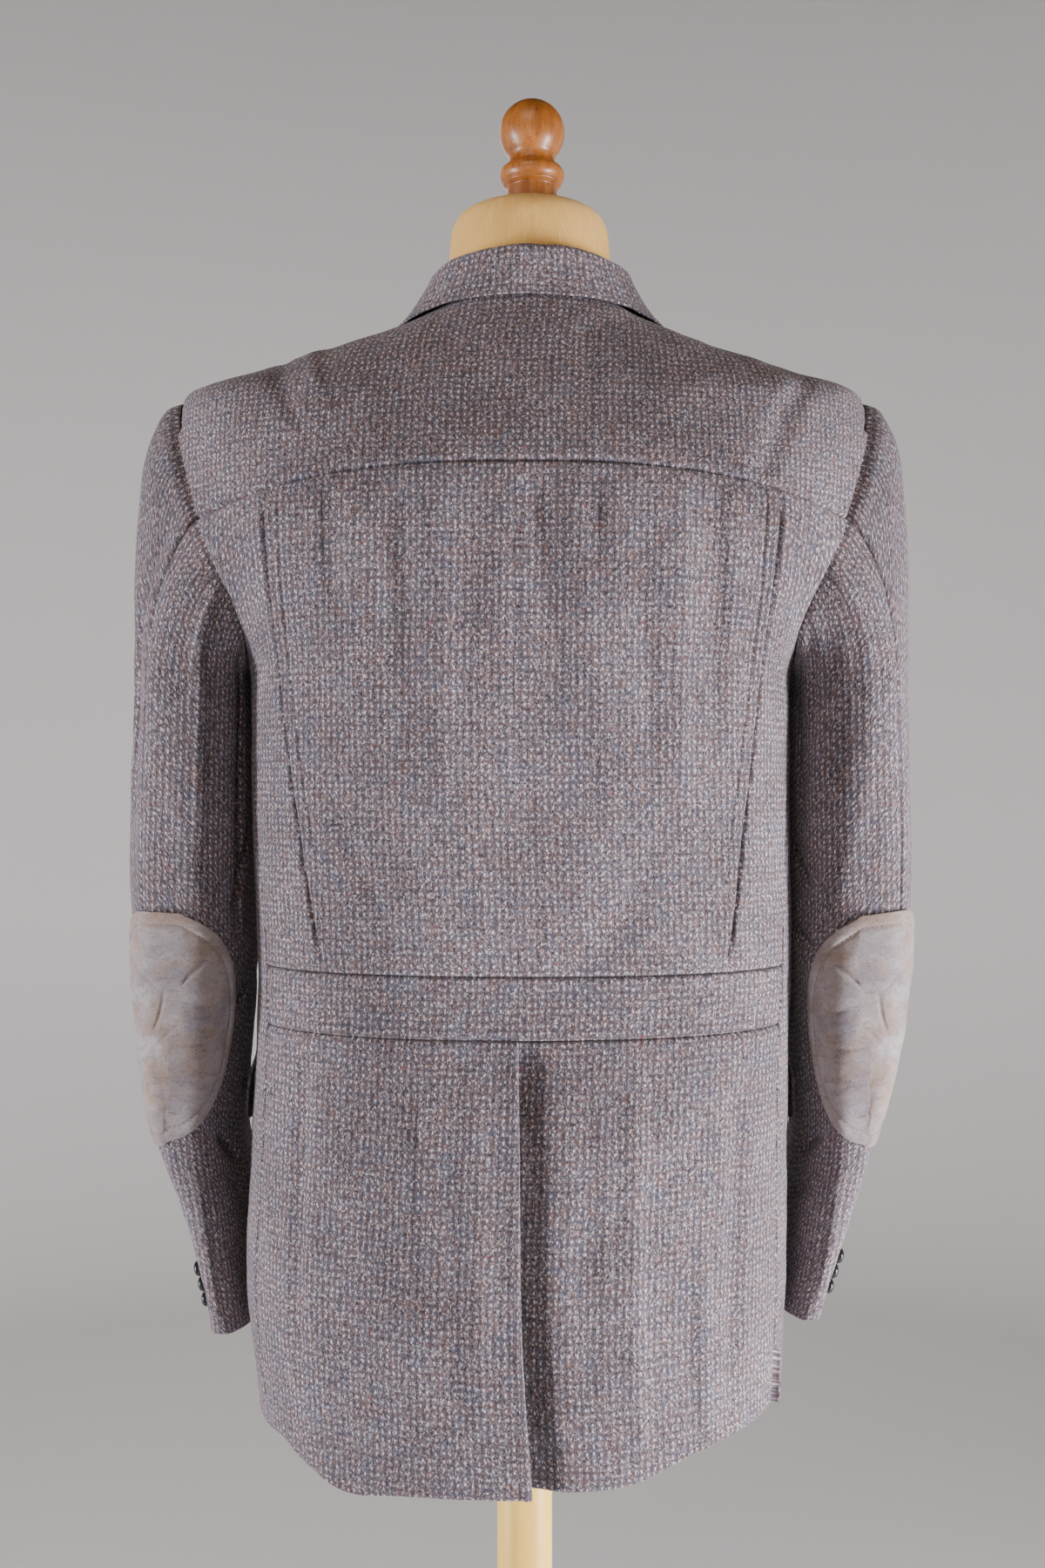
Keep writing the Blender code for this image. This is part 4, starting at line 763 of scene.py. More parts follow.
def sheet_over(base, u, lift, stitches, seed, seams=(), creases=(), puckers=0.0, strength=1.0):
    """Points, normals and cloth sizes of a sheet, and its seams. It stands off its base by its lift."""
    out = level_part(base)
    cloth = np.stack([u, cloth_height(base)], axis=-1)
    moved = relief(base, cloth, seams, stitches, creases, seed, puckers) * strength + lift
    points = base + sheet_normals(base, out) * moved[..., None]
    return points, sheet_normals(points, out), cloth, seams


def from_front(turn, level):
    """Distance round the body from the centre front."""
    return around_body(math.pi + 0 * turn, level) - around_body(turn, level)


def body_sheet(side, turn_of, levels, columns, lift_of=None, level_of=None, seams=(), stitches=(),
               creases=(), front=False, seed=0.0, puckers=0.0):
    """A sheet on the body. turn_of(level, share) places its columns."""
    level, share = grid_of(levels, columns)
    turn = turn_of(level, share)
    if level_of:
        level = level_of(turn, level, share)
        turn = turn_of(level, share)
    u = from_front(turn, level) if front else around_body(turn, level) * side
    lift = lift_of(level, share, turn) if lift_of else 0.0
    return sheet_over(body_point(turn, level, side), u, lift, stitches, seed, seams, creases, puckers)


def folded_wall(points, sides, wall):
    """Walls that are twofold by the named sides, where the cloth is turned under."""
    thick = np.full(points.shape[:2], wall)
    for side in sides:
        near = edge_distance(points, side)
        thick = np.maximum(thick, mix(FOLD_WALL, wall, smooth((near - FOLD_REACH) / FOLD_EASE)))
    return thick


# ---- panels of the body
def ease_in(level, low, high, reach=0.05, least=0.35):
    return least + (1 - least) * smooth(np.minimum(level - low, high - level) / reach)


def tucked(turn, level):
    """The side back goes in below the pleat, and comes up sharply beside the pleat's edge."""
    away = around_body(turn, level) - around_body(pleat_turn(level), level)
    held = ease_in(level, BELT_TOP, YOKE_SEAM, 0.03, 0.2)
    rise = smooth((away - 0.0008) / TUCK_RISE)
    lip = PLEAT_LIP * rise * (1 - smooth((away - 0.005) / 0.018))
    return (lip - TUCK_DROP * (1 - rise)) * held


def back_sheet(side, step):
    def seam_turn(level):
        return turn_at(CENTRE_SEAM_X * side + 0 * level, level)

    def turns(level, share):
        return even_turns(seam_turn(level), pleat_turn(level), level, share)

    def lift(level, share, turn):
        start = seam_turn(level)
        fold = pleat_turn(level)
        j = PLEAT_COLUMN * (turn - start) / (fold - start)
        edge = around_body(fold, level) - around_body(turn, level)
        raised = PLEAT_EDGE_RAISE * smooth((j - PLEAT_COLUMN + 2) / 2)
        strip = PLEAT_STRIP * (1 - smooth((edge - PLEAT_PRESS + 0.0006) / 0.0012))
        strip = strip + PLEAT_STRIP_SWELL * bell((edge - 0.0012) / 0.003)
        line = PLEAT_LINE * bell((edge - PLEAT_PRESS - 0.0004) / 0.0018)
        pressed = mix(0.35, 1.0, smooth((level - 1.06) / 0.12))
        held = ease_in(level, BELT_TOP, YOKE_SEAM, 0.026, 0.12)
        return (raised + (strip - line) * pressed) * held

    columns = columns_of(BACK_WIDTH, step, 1 - np.arange(*PLEAT_LINES) / BACK_WIDTH)
    points, normals, cloth, _ = body_sheet(
        side, turns, rows_of(BELT_TOP, YOKE_SEAM, step), columns, lift, seams=("low", "high"),
        stitches=(("left", SEAM_PRESS),), creases=BACK_CREASES, seed=1.0 + side, puckers=0.00022)
    return points, normals, cloth, ("left", "low", "high")


def side_back_sheet(side, step):
    def turns(level, share):
        fold = pleat_turn(level)
        middle = turn_at(0 * level, level)
        start = fold - (fold - middle) / PLEAT_COLUMN
        beneath = even_turns(start, fold, level, np.clip(share / PLEAT_SHARE, 0, 1))
        beyond = np.clip((share - PLEAT_SHARE) / (1 - PLEAT_SHARE), 0, 1)
        return np.where(share < PLEAT_SHARE, beneath, even_turns(fold, side_edge(level, True), level, beyond))

    def lift(level, share, turn):
        return tucked(turn, level)

    groove = PLEAT_SHARE + np.array(GROOVE_COLUMNS) / SIDE_BACK_SPREAD
    return body_sheet(side, turns, rows_of(BELT_TOP, YOKE_SEAM, step),
                      columns_of(SIDE_BACK_WIDTH, step, groove), lift, seams=("right", "low", "high"),
                      creases=BACK_CREASES, seed=4.0 + side, puckers=0.00018)


def across_sheet(levels, step, creases, stitches, seed, puckers):
    """A sheet from side to side: the yoke or the half belt."""
    def turns(level, share):
        edge = side_edge(level, True)
        return even_turns(-edge, edge, level, (share + 1) / 2)

    columns = columns_of(YOKE_WIDTH, step) * 2 - 1
    return body_sheet(1, turns, levels, columns, seams=("left", "right", "low", "high"),
                      stitches=stitches, creases=creases, seed=seed, puckers=puckers)


def skirt_sheet(side, step):
    def vent_turn(level):
        if side > 0:
            return turn_at(vent_x(level), level)
        return -turn_at(vent_x(level) + VENT_LAP, level)

    def turns(level, share):
        return even_turns(vent_turn(level), side_edge(level, True), level, share)

    def lift(level, share, turn):
        fold = pleat_turn(level)
        start = vent_turn(level)
        if side > 0:
            j = PLEAT_COLUMN * (turn - start) / (fold - start)
            raised = smooth(1 - j / 2.5) * ease_in(level, 2 * HEM - BELT_LOW, BELT_LOW, 0.04, 0.2)
            edge = around_body(turn, level) - around_body(start, level)
            rolled = VENT_ROLL * bell((edge - 0.003) / 0.006)
            return (VENT_RAISE + SKIRT_FLARE * smooth((0.9 - level) / 0.2) + rolled) * raised
        emerge = -turn_at(vent_x(level), level)
        j = PLEAT_COLUMN * (turn - emerge) / (fold - emerge)
        deep = TUCK_DROP * (1 - smooth((j + 0.1) / 2.9))
        away = around_body(turn, level) - around_body(emerge, level)
        held = smooth((BELT_LOW - level) / 0.014) * mix(0.75, 1.0, smooth((0.95 - level) / 0.15))
        return -deep - VENT_SINK * held * (1 - smooth((away + 0.002) / VENT_SINK_REACH))

    def levels_of(turn, level, share):
        return hem_level(turn, level, side)

    return body_sheet(side, turns, rows_of(HEM, BELT_LOW, step), columns_of(SKIRT_WIDTH, step), lift,
                      levels_of, seams=("right", "high"), stitches=(("left", 0.0075), ("low", 0.03)),
                      creases=SKIRT_CREASES, seed=7.0 + side, puckers=0.00016)


def front_turns(level, share):
    """A front's columns run from the side seam and the armhole to its free edge."""
    start = side_edge(level, False)
    held = side_edge(SCYE_MIDDLE + 0 * level, False)
    swing = smooth((level - 1.06) / (SCYE_MIDDLE - 1.06))
    soft = np.where(level < SCYE_MIDDLE, mix(start, held, swing), start)
    end = front_edge(level)
    return mix(mix(soft, end, share), mix(start, end, share), smooth(1 - share / 0.2))


def front_lift(share, level, side):
    """The right front goes in beneath the left one."""
    if side > 0:
        return 0.0 * level
    under = smooth((share * 10 - 7.5) / 1.5)
    return -TUCK_DROP * 1.1 * under * (1 - smooth((level - BREAK - 0.08) / 0.05))


def front_sheet(side, step):
    def levels_of(turn, level, share):
        rise = CUTAWAY_RISE * share ** 4
        part = np.clip((level - HEM) / (CUTAWAY_START - HEM), 0.0, 1.0)
        lower = hem_level(np.minimum(turn, math.pi), level, side) + rise * (1 - part)
        return np.where(level >= CUTAWAY_START, level, lower)

    def lift(level, share, turn):
        return front_lift(share, level, side)

    return body_sheet(side, front_turns, rows_of(HEM, NECK_SEAM, step), columns_of(FRONT_WIDTH, step),
                      lift, levels_of, seams=("left", "high"), stitches=(("right", EDGE_STITCH),),
                      creases=FRONT_CREASES, front=True, seed=11.0 + side, puckers=0.00018)


def pocket_sheet(side, low, high, corner, lift_of, step, seed):
    """A piece on a front, between its pocket shares, with rounded lower corners."""
    row, column = grid_of(columns_of(high - low, step), columns_of(POCKET_WIDTH, step))
    near = np.minimum(column, 1 - column) * POCKET_WIDTH
    short = np.clip(1 - near / corner, 0.0, 1.0)
    lowest = low + corner * (1 - np.sqrt(1 - short ** 2))
    level = mix(lowest, high, row)
    share = mix(POCKET_SHARES[0], POCKET_SHARES[1], column)
    turn = front_turns(level, share)
    stitches = (("left", EDGE_STITCH), ("right", EDGE_STITCH), ("low", EDGE_STITCH))
    lift = lift_of(level) + front_lift(share, level, side)
    return sheet_over(body_point(turn, level, side), from_front(turn, level), lift, stitches, seed)


def pocket_lift(level):
    return POCKET_LIFT


def flap_lift(level):
    down = (FLAP_TOP - level) / (FLAP_TOP - FLAP_LOW)
    return FLAP_REST + FLAP_STEP * smooth(down * 3) + FLAP_FLARE * smooth(down)


def lapel_sheet(side, step):
    share, out = grid_of(columns_of(LAPEL_LENGTH, step), columns_of(LAPEL_WIDTH, step))
    level = mix(BREAK + 0.012, mix(GORGE, LAPEL_TIP, out), share)
    x = roll_x(level) + 0.004 + LAPEL_WIDTH * smooth(0.12 + 0.95 * share) * out
    lift = LAPEL_WALL + LAPEL_REST + LAPEL_PUFF * np.sin(math.pi * np.minimum(out * 1.2, 1.0))
    stitches = (("right", EDGE_STITCH), ("high", EDGE_STITCH))
    return sheet_over(body_point(turn_at(x, level, True), level, side), x, lift, stitches, 21.0 + side,
                      strength=0.6)


# ---- collar
def body_lifted(turn, level, side, lift):
    """Points that stand off the body by a lift, for single places and short rows."""
    around = body_point(turn + 0.004, level, side) - body_point(turn - 0.004, level, side)
    upward = body_point(turn, level + 0.0015, side) - body_point(turn, level - 0.0015, side)
    normal = unit(np.cross(around, upward))
    return body_point(turn, level, side) - normal * (lift * side)[..., None]


def collar_sheet(step):
    """Up the stand, over the roll line and down the leaf."""
    reach = COLLAR[-1][0]
    degrees = np.linspace(-reach, reach, int(0.4 / step) | 1)
    shares = np.concatenate([np.linspace(0, COLLAR_ROLL, 12)[:-1],
                             np.linspace(COLLAR_ROLL, COLLAR_LEAF, 18)[:-1],
                             COLLAR_LEAF + (1 - COLLAR_LEAF) * columns_of(0.03, 0.0016)])
    side = np.where(degrees >= 0, 1.0, -1.0)
    turn = np.radians(np.abs(degrees))
    seam, foot_lift, stand, leaf_level, leaf_lift, spread = table(COLLAR, np.abs(degrees))
    up = np.array([0.0, 0.0, 1.0])
    foot = body_lifted(turn, seam, side, foot_lift) + up * COLLAR_CLEAR
    leaf = body_lifted(turn, leaf_level, side, leaf_lift)
    out = unit(level_part(leaf - foot))
    top = foot + up * stand[:, None] - out * 0.001
    over = top + out * spread[:, None] - up * 0.0035
    points = np.zeros((len(degrees), len(shares), 3))
    for k, share in enumerate(shares):
        if share < COLLAR_ROLL:
            points[:, k] = mix(foot, top, share / COLLAR_ROLL)
        elif share < COLLAR_LEAF:
            angle = (share - COLLAR_ROLL) / (COLLAR_LEAF - COLLAR_ROLL) * math.pi
            raised = up * (spread * 0.42 * math.sin(angle))[:, None]
            points[:, k] = (top + over) / 2 - (over - top) / 2 * math.cos(angle) + raised
        else:
            t = (share - COLLAR_LEAF) / (1 - COLLAR_LEAF)
            points[:, k] = mix(over, leaf, t) - up * 0.003 * math.sin(math.pi * t)
    for _ in range(3):
        points[:, 1:-1] = (points[:, :-2] + 2 * points[:, 1:-1] + points[:, 2:]) / 4
    u = run(points[:, len(shares) // 2], 0)
    u = u - u[len(u) // 2]
    cloth = np.stack([u[:, None] + 0 * shares[None, :], -run(points, 1)], axis=-1)
    middle = (top + over) / 2 - up * 0.012
    guide = points - middle[:, None, :]
    normals = sheet_normals(points, guide)
    near = edge_distance(points, "right")
    moved = wobble(cloth[..., 0], cloth[..., 1], 3.0, 0.0004)
    moved = moved - COLLAR_STITCH_DIP * ridge(near, EDGE_STITCH + 0.0005, 0.0022)
    moved = moved - crease_depth(cloth[..., 0], cloth[..., 1], COLLAR_CREASES)
    points = points + normals * moved[..., None]
    return points, sheet_normals(points, guide), cloth, ()


# ---- sleeves
def sleeve_of(side):
    return LEFT_SLEEVE if side > 0 else RIGHT_SLEEVE


def ring_point(rows, z, turn, side):
    outer_x, inner_x, mid_y, half_depth, twist, drift = table(rows, z)
    middle = (outer_x + inner_x) / 2
    half = (outer_x - inner_x) / 2
    twist = np.radians(twist)
    turn = np.where(turn > 0, turn + np.radians(drift) * np.sin(turn), turn)
    deep = half_depth * np.sin(turn)
    fuller = np.where(turn > 0, SLEEVE_FULL, 1.0)
    wide = -half * np.sign(np.cos(turn)) * np.abs(np.cos(turn)) ** fuller
    wide = wide * np.sqrt(np.maximum(half ** 2 - (half_depth * np.sin(twist)) ** 2, 0.0002)) / half
    x = middle + wide * np.cos(twist) + deep * np.sin(twist)
    y = mid_y - wide * np.sin(twist) + deep * np.cos(twist)
    return np.stack([side * x, y, z + 0 * x], axis=-1)


def sleeve_middle(rows, z, side):
    """The middle of a sleeve at each height."""
    outer_x, inner_x, mid_y = table(rows, z)[:3]
    return np.stack([side * (outer_x + inner_x) / 2, mid_y, z], axis=-1)


def sleeve_dent(points, rows, turn, side):
    depth = np.zeros(turn.shape)
    for at, half_turn, high, low, deep in (LEFT_SLEEVE_FOLDS if side > 0 else RIGHT_SLEEVE_FOLDS):
        share = (high - points[..., 2]) / (high - low)
        off = (np.degrees(turn) - at) / half_turn
        held = np.sin(math.pi * np.clip(share, 0.0, 1.0)) ** 0.8
        depth += np.where((share > 0) & (share < 1), deep * held * bell(off), 0.0)
    return points + unit(sleeve_middle(rows, points[..., 2], side) - points) * depth[..., None]


def sleeve_point(rows, turn, along, side):
    """along runs from 0 at the armhole, through 1 at the biceps, to 2 at the cuff."""
    turn = np.where(turn > math.pi, turn - 2 * math.pi, turn)
    biceps = rows[0][0]
    z = mix(biceps, rows[-1][0], np.maximum(along - 1.0, 0.0))
    end = ring_point(rows, z, turn, side)
    level = scye_level(np.abs(turn))
    edge = np.where(turn >= 0, side_edge(level, True), side_edge(level, False))
    start = body_point(edge, level, side)
    reach = np.linalg.norm(end - start, axis=-1, keepdims=True)
    rise = (1 - np.cos(turn)) / 2
    (out_low, out_high), forward, (down_low, down_high) = CAP_DIRECTION
    leave = np.stack([side * mix(out_low, out_high, rise), np.sin(turn) * forward,
                      mix(down_low, down_high, rise)], -1)
    leave = unit(leave) * reach * mix(CAP_LEAVE_LOW, CAP_LEAVE, rise)[..., None]
    land = np.array([0.0, 0.0, -1.0]) * reach * CAP_LAND
    cap = hermite(start, end, leave, land, np.minimum(along, 1.0)[..., None])
    points = np.where((along >= 1.0)[..., None], end, cap)
    return sleeve_dent(points, rows, turn, side)


def sleeve_seat(rows, turn, along, side, turn_step, along_step):
    """Points of a sleeve and their outward normals, from points a small step to either side."""
    def spot(across, onward):
        return sleeve_point(rows, turn + across, along + onward, side)

    seat = spot(0.0, 0.0)
    around = spot(turn_step, 0.0) - spot(-turn_step, 0.0)
    down = spot(0.0, along_step) - spot(0.0, -along_step)
    return seat, turned_out(unit(np.cross(around, down)), seat - sleeve_middle(rows, seat[..., 2], side))


def sleeve_round(rows, alongs, start, end, count, side):
    """Turns between two seams, and the distance round the sleeve to each, for every row."""
    along, turn = grid_of(alongs, np.radians(np.linspace(start, end, count)))
    return turn[0], run(sleeve_point(rows, turn, along, side), 1)


def sleeve_rows(step):
    """Rows of a sleeve: close by the armhole and the cuff, and even between."""
    cap_rows = np.concatenate([np.array(CLOSE_ROWS)[:-1] / CAP_LENGTH,
                               np.linspace(CLOSE_ROWS[-1] / CAP_LENGTH, 1.0, int(CAP_LENGTH / step))])
    low = columns_of(SLEEVE_LENGTH, step)
    return np.concatenate([cap_rows, 1.0 + low[low > 0.004]])


def sleeve_sheets(side, step):
    """The under sleeve and the top sleeve, cut from one tube at the forearm and hindarm seams."""
    rows = sleeve_of(side)
    creases = LEFT_SLEEVE_CREASES if side > 0 else RIGHT_SLEEVE_CREASES
    alongs = sleeve_rows(step)
    found = []
    for start, end, width, seed in SLEEVE_SHEETS:
        shares = columns_of(width, step)
        fine, spread = sleeve_round(rows, alongs, start, end, 400, side)
        turn = np.stack([np.interp(shares * line[-1], line, fine) for line in spread])
        base = sleeve_point(rows, turn, alongs[:, None] + 0 * turn, side)
        height = base[..., 2]
        out = base - sleeve_middle(rows, height, side)
        lead = sleeve_round(rows, alongs, 0.0, start, 160, side)[1]
        u_body = lead[:, -1:] * np.sign(start) + run(base, 1)
        middle = u_body[:, u_body.shape[1] // 2][:, None]
        cloth = np.stack([u_body - middle, -run(base, 0)], axis=-1)
        plain = relief(base, cloth, ("left", "right"), (), (), seed + side, 0.0002)
        head = edge_distance(base, "low")
        plain = plain - seam_dip(head) * ARMHOLE_DIP
        near, far = SLEEVE_HEAD_REACH
        low, rise = SLEEVE_HEAD_FROM
        raised = SLEEVE_HEAD * smooth(head / near) * (1 - smooth((head - near) / far))
        plain = plain + raised * smooth((height - low) / rise) + armhole_fill(head, height)
        calm = smooth((head + 0.004) / 0.02)
        dents = crease_depth(u_body, height, creases) * calm * jacket_sizes().crease_strength
        points = base + sheet_normals(base, out) * (plain - dents)[..., None]
        found.append((points, sheet_normals(points, out), cloth, ("left", "right", "low")))
    return found


# ---- elbow patches
def patch_sheet(side):
    """An oval on the sleeve, as rings and spokes: its centre, its border's stitching and its rim."""
    rows = sleeve_of(side)
    low, high = (math.radians(t) for t in ELBOW_TURNS)
    fine = np.linspace(low, high, 300)
    widths = run(ring_point(rows, ELBOW_Z + 0 * fine, fine, side), 0)
    half = widths[-1] / 2
    spokes = np.linspace(0, 2 * math.pi, 181)[None, :]
    rings = np.concatenate([[0.0], np.linspace(0.03, 0.85, 34), np.linspace(0.86, 1.0, 16)])[:, None]
    across, upward = (rings * np.sign(wave) * np.abs(wave) ** 0.92
                      for wave in (np.cos(spokes), np.sin(spokes)))
    size = np.abs(np.cos(spokes)) ** 2.12 + np.abs(np.sin(spokes)) ** 1.85
    across = across / size ** 0.5
    upward = upward / size ** 0.5
    turn = np.interp(half + across * half, widths, fine)
    slant = ELBOW_SLANT[0] if side > 0 else ELBOW_SLANT[1]
    z = ELBOW_Z + upward * ELBOW_HALF_HEIGHT + across * slant
    along = 1 + (rows[0][0] - z) / (rows[0][0] - rows[-1][0])
    base, normals = sleeve_seat(rows, turn, along, side, 0.01, 0.003)
    cloth = np.stack([across * half, upward * ELBOW_HALF_HEIGHT], axis=-1)
    near = (1 - rings) * min(half, ELBOW_HALF_HEIGHT) + 0 * spokes
    puff = ELBOW_PUFF * smooth((near - ELBOW_BORDER) / 0.01)
    puff = puff + ELBOW_RIM_PUFF * bell((near - 0.003) / 0.0032)
    groove = -ELBOW_GROOVE * ridge(near, ELBOW_BORDER, 0.0011)
    dents = crease_depth(across, upward, PATCH_CREASES) * half * ELBOW_DENTS
    dents = dents * smooth((near - ELBOW_BORDER) / 0.004)
    uneven = wobble(cloth[..., 0], cloth[..., 1], 51.0 + side, 0.0005)
    lift = ELBOW_LIFT + SUEDE_WALL + puff + groove + uneven * smooth(near / 0.01) - dents * 0.55
    points = base + normals * lift[..., None]
    return points, normals, cloth, rings


def disc(name, points, normals, cloth, wall, material):
    """A closed wall under a round grid, whose first row is its centre."""
    rings, spokes = points.shape[0] - 1, points.shape[1] - 1
    up = sheet_normals(points[1:], normals[1:])
    up[:, [0, -1]] = unit(up[:, [0]] + up[:, [-1]])
    top = np.concatenate([points[:1, 0], points[1:, :-1].reshape(-1, 3)])
    tops = np.concatenate([unit(normals[:1, 0]), up[:, :-1].reshape(-1, 3)])
    chart = np.concatenate([cloth[:1, 0], cloth[1:, :-1].reshape(-1, 2)])
    index = 1 + np.arange(rings * spokes).reshape(rings, spokes)
    count = len(top)
    verts, charts, rim = half_round_rim(top, tops, chart, 0.0, wall, index[-1], index[-2])
    around = tube_faces(index)
    quads = np.concatenate([around, around[:, ::-1] + count, *rim]).tolist()
    for a, b in zip(index[0].tolist(), np.roll(index[0], -1).tolist()):
        quads.append([0, a, b])
        quads.append([count, b + count, a + count])
    first = quads[0]
    verts = np.concatenate([top, top - tops * wall, *verts])
    facing = np.cross(verts[first[1]] - verts[first[0]], verts[first[3]] - verts[first[0]])
    if (facing * tops[first[0]]).sum() < 0:
        quads = [face[::-1] for face in quads]
    return add_mesh(name, verts, quads, np.concatenate([chart, chart, *charts]), material)


# ---- threads and turned pieces
# a stitch's five rings: their places along it, their heights and their thicknesses
STITCH_PLACES = np.array([-0.5, -0.3, 0.0, 0.3, 0.5])
STITCH_HEIGHTS = np.array([-0.9, 0.6, 1.0, 0.6, -0.9])
STITCH_THICKS = np.array([0.4, 0.9, 1.0, 0.9, 0.4])
STITCH_SIDES = 6


def thread_row(name, path, up, material, pitch=0.0034, length=0.0025, radius=0.00026):
    """Short stitches along a path. Each thread rises from the cloth and goes down again."""
    lengths = run(path, 0)
    count = int(lengths[-1] / pitch)
    marks = (np.arange(count)[:, None] + 0.5) * pitch + STITCH_PLACES * length
    spots = np.stack([np.interp(marks, lengths, path[:, c]) for c in range(3)], axis=-1)
    ups = unit(np.stack([np.interp(marks, lengths, up[:, c]) for c in range(3)], axis=-1))
    spots = spots + ups * (STITCH_HEIGHTS * radius)[None, :, None]
    across = unit(np.cross(ups, (spots[:, -1:] - spots[:, :1])))
    thick = (STITCH_THICKS * radius)[None, :, None, None]
    sides = STITCH_SIDES
    angles = 2 * math.pi * np.arange(sides) / sides
    ring = ups[:, :, None] * np.cos(angles)[:, None] + across[:, :, None] * np.sin(angles)[:, None]
    verts = (spots[:, :, None] + ring * thick).reshape(-1, 3)
    chart = np.repeat(spots[..., [0, 2]].reshape(-1, 2), sides, axis=0)
    index = np.arange(len(verts)).reshape(count, -1, sides)
    faces = []
    for stitch in index:
        faces += tube_faces(stitch)[:, ::-1].tolist()
        faces += [stitch[0, ::-1].tolist(), stitch[-1].tolist()]
    return add_mesh(name, verts, faces, chart, material)


def rounded(profile, bevel, steps=4):
    """A profile whose inner corners are rounded off by up to the bevel."""
    points = [np.array(p, dtype=float) for p in profile]
    found = [points[0]]
    for before, corner, after in zip(points, points[1:], points[2:]):
        back = before - corner
        ahead = after - corner
        cut = min(bevel, np.linalg.norm(back) * 0.45, np.linalg.norm(ahead) * 0.45)
        a = corner + unit(back) * cut
        b = corner + unit(ahead) * cut
        for t in np.linspace(0, 1, steps + 1):
            found.append(a * (1 - t) ** 2 + corner * 2 * t * (1 - t) + b * t ** 2)
    found.append(points[-1])
    return np.array(found)


def turned(name, profile, sides, material, centre=(0.0, 0.0, 0.0), axis=(0.0, 0.0, 1.0)):
    """A turned solid. The profile's radius and height run from the top of the axis to its foot."""
    profile = np.asarray(profile)
    angles = 2 * math.pi * np.arange(sides) / sides
    body = profile[1:-1]
    rings = np.stack([body[:, :1] * np.cos(angles), body[:, :1] * np.sin(angles),
                      body[:, 1:] + 0 * angles], axis=-1)
    verts = np.concatenate([[[0, 0, profile[0, 1]]], rings.reshape(-1, 3), [[0, 0, profile[-1, 1]]]])
    index = 1 + np.arange(len(body) * sides).reshape(len(body), sides)
    faces = tube_faces(index).tolist()
    faces += [[0, a, b] for a, b in zip(index[0].tolist(), np.roll(index[0], -1).tolist())]
    last = len(verts) - 1
    faces += [[last, b, a] for a, b in zip(index[-1].tolist(), np.roll(index[-1], -1).tolist())]
    spun = np.array(Vector((0, 0, 1)).rotation_difference(Vector(axis)).to_matrix())
    placed = verts @ spun.T + np.array(centre)
    return add_mesh(name, placed, faces, verts[:, :2], material)


# ---- node trees
YARN_SPACING = 0.00095   # linen, from one yarn to the next
THREADS = {"dark": (0.05, 0.035, 0.035), "grey": (0.2, 0.17, 0.17)}


class Tree:
    """A node tree under construction."""

    def __init__(self, tree):
        self.tree = tree

    def add(self, kind, settings=None, **inputs):
        node = self.tree.nodes.new(kind)
        for key, value in (settings or {}).items():
            setattr(node, key, value)
        for key, value in inputs.items():
            key = int(key[1:]) if key[0] == "i" and key[1:].isdigit() else key.replace("_", " ")
            self.feed(node.inputs[key], value)
        return node

    def feed(self, socket, value):
        if isinstance(value, bpy.types.NodeSocket):
            self.tree.links.new(value, socket)
        else:
            socket.default_value = value

    def sum(self, operation, *values, kind="ShaderNodeMath"):
        node = self.add(kind, {"operation": operation})
        for socket, value in zip(node.inputs, values):
            self.feed(socket, value)
        return node.outputs[0]

    def plus(self, a, b):
        return self.sum("ADD", a, b)

    def times(self, a, b):
        return self.sum("MULTIPLY", a, b)

    def vector(self, operation, *values):
        return self.sum(operation, *values, kind="ShaderNodeVectorMath")

    def scaled(self, vector, x, y, z=1.0):
        return self.vector("MULTIPLY", vector, (x, y, z))

    def noise(self, vector, scale, detail=2.0, roughness=0.5, output="Fac"):
        node = self.add("ShaderNodeTexNoise", Vector=vector, Scale=scale, Detail=detail,
                        Roughness=roughness)
        return node.outputs[output]

    def noises(self, vector, scale, detail, roughness):
        """Three unlike noises of one size."""
        return self.split(self.noise(vector, scale, detail, roughness, "Color"))

    def mapped(self, value, low, high, to_low=0.0, to_high=1.0):
        node = self.add("ShaderNodeMapRange", {"interpolation_type": "SMOOTHSTEP"}, Value=value)
        for socket, number in zip(node.inputs[1:5], (low, high, to_low, to_high)):
            socket.default_value = number
        return node.outputs[0]

    def blend(self, factor, a, b, mode="MIX"):
        node = self.add("ShaderNodeMix", {"data_type": "RGBA", "blend_type": mode})
        for socket, value in ((0, factor), (6, a), (7, b)):
            self.feed(node.inputs[socket], value)
        return node.outputs[2]

    def stained(self, colour, *stains):
        """Colours over a colour. Each comes in between two values of its mask, up to its share."""
        for mask, low, high, share, stain in stains:
            stain = (*stain, 1) if isinstance(stain, tuple) else stain
            colour = self.blend(self.mapped(mask, low, high, 0.0, share), colour, stain)
        return colour

    def split(self, vector):
        return self.add("ShaderNodeSeparateXYZ", Vector=vector).outputs

    def join(self, x, y, z):
        return self.add("ShaderNodeCombineXYZ", X=x, Y=y, Z=z).outputs[0]


def shade_group(name, **inputs):
    """A shared effect with a colour and a height. Its inputs are one vector, colours and numbers."""
    tree = bpy.data.node_groups.new(name, "ShaderNodeTree")
    for socket, value in inputs.items():
        kind = "Vector" if value is None else "Color" if isinstance(value, tuple) else "Float"
        made = tree.interface.new_socket(name=socket, in_out="INPUT", socket_type="NodeSocket" + kind)
        if value is not None:
            made.default_value = (*value, 1) if kind == "Color" else value
    for socket, kind in (("Color", "Color"), ("Height", "Float")):
        tree.interface.new_socket(name=socket, in_out="OUTPUT", socket_type="NodeSocket" + kind)
    return Tree(tree), tree.nodes.new("NodeGroupInput").outputs


def close_group(t, colour, height):
    out = t.tree.nodes.new("NodeGroupOutput")
    t.feed(out.inputs["Color"], colour)
    t.feed(out.inputs["Height"], height)
    return t.tree


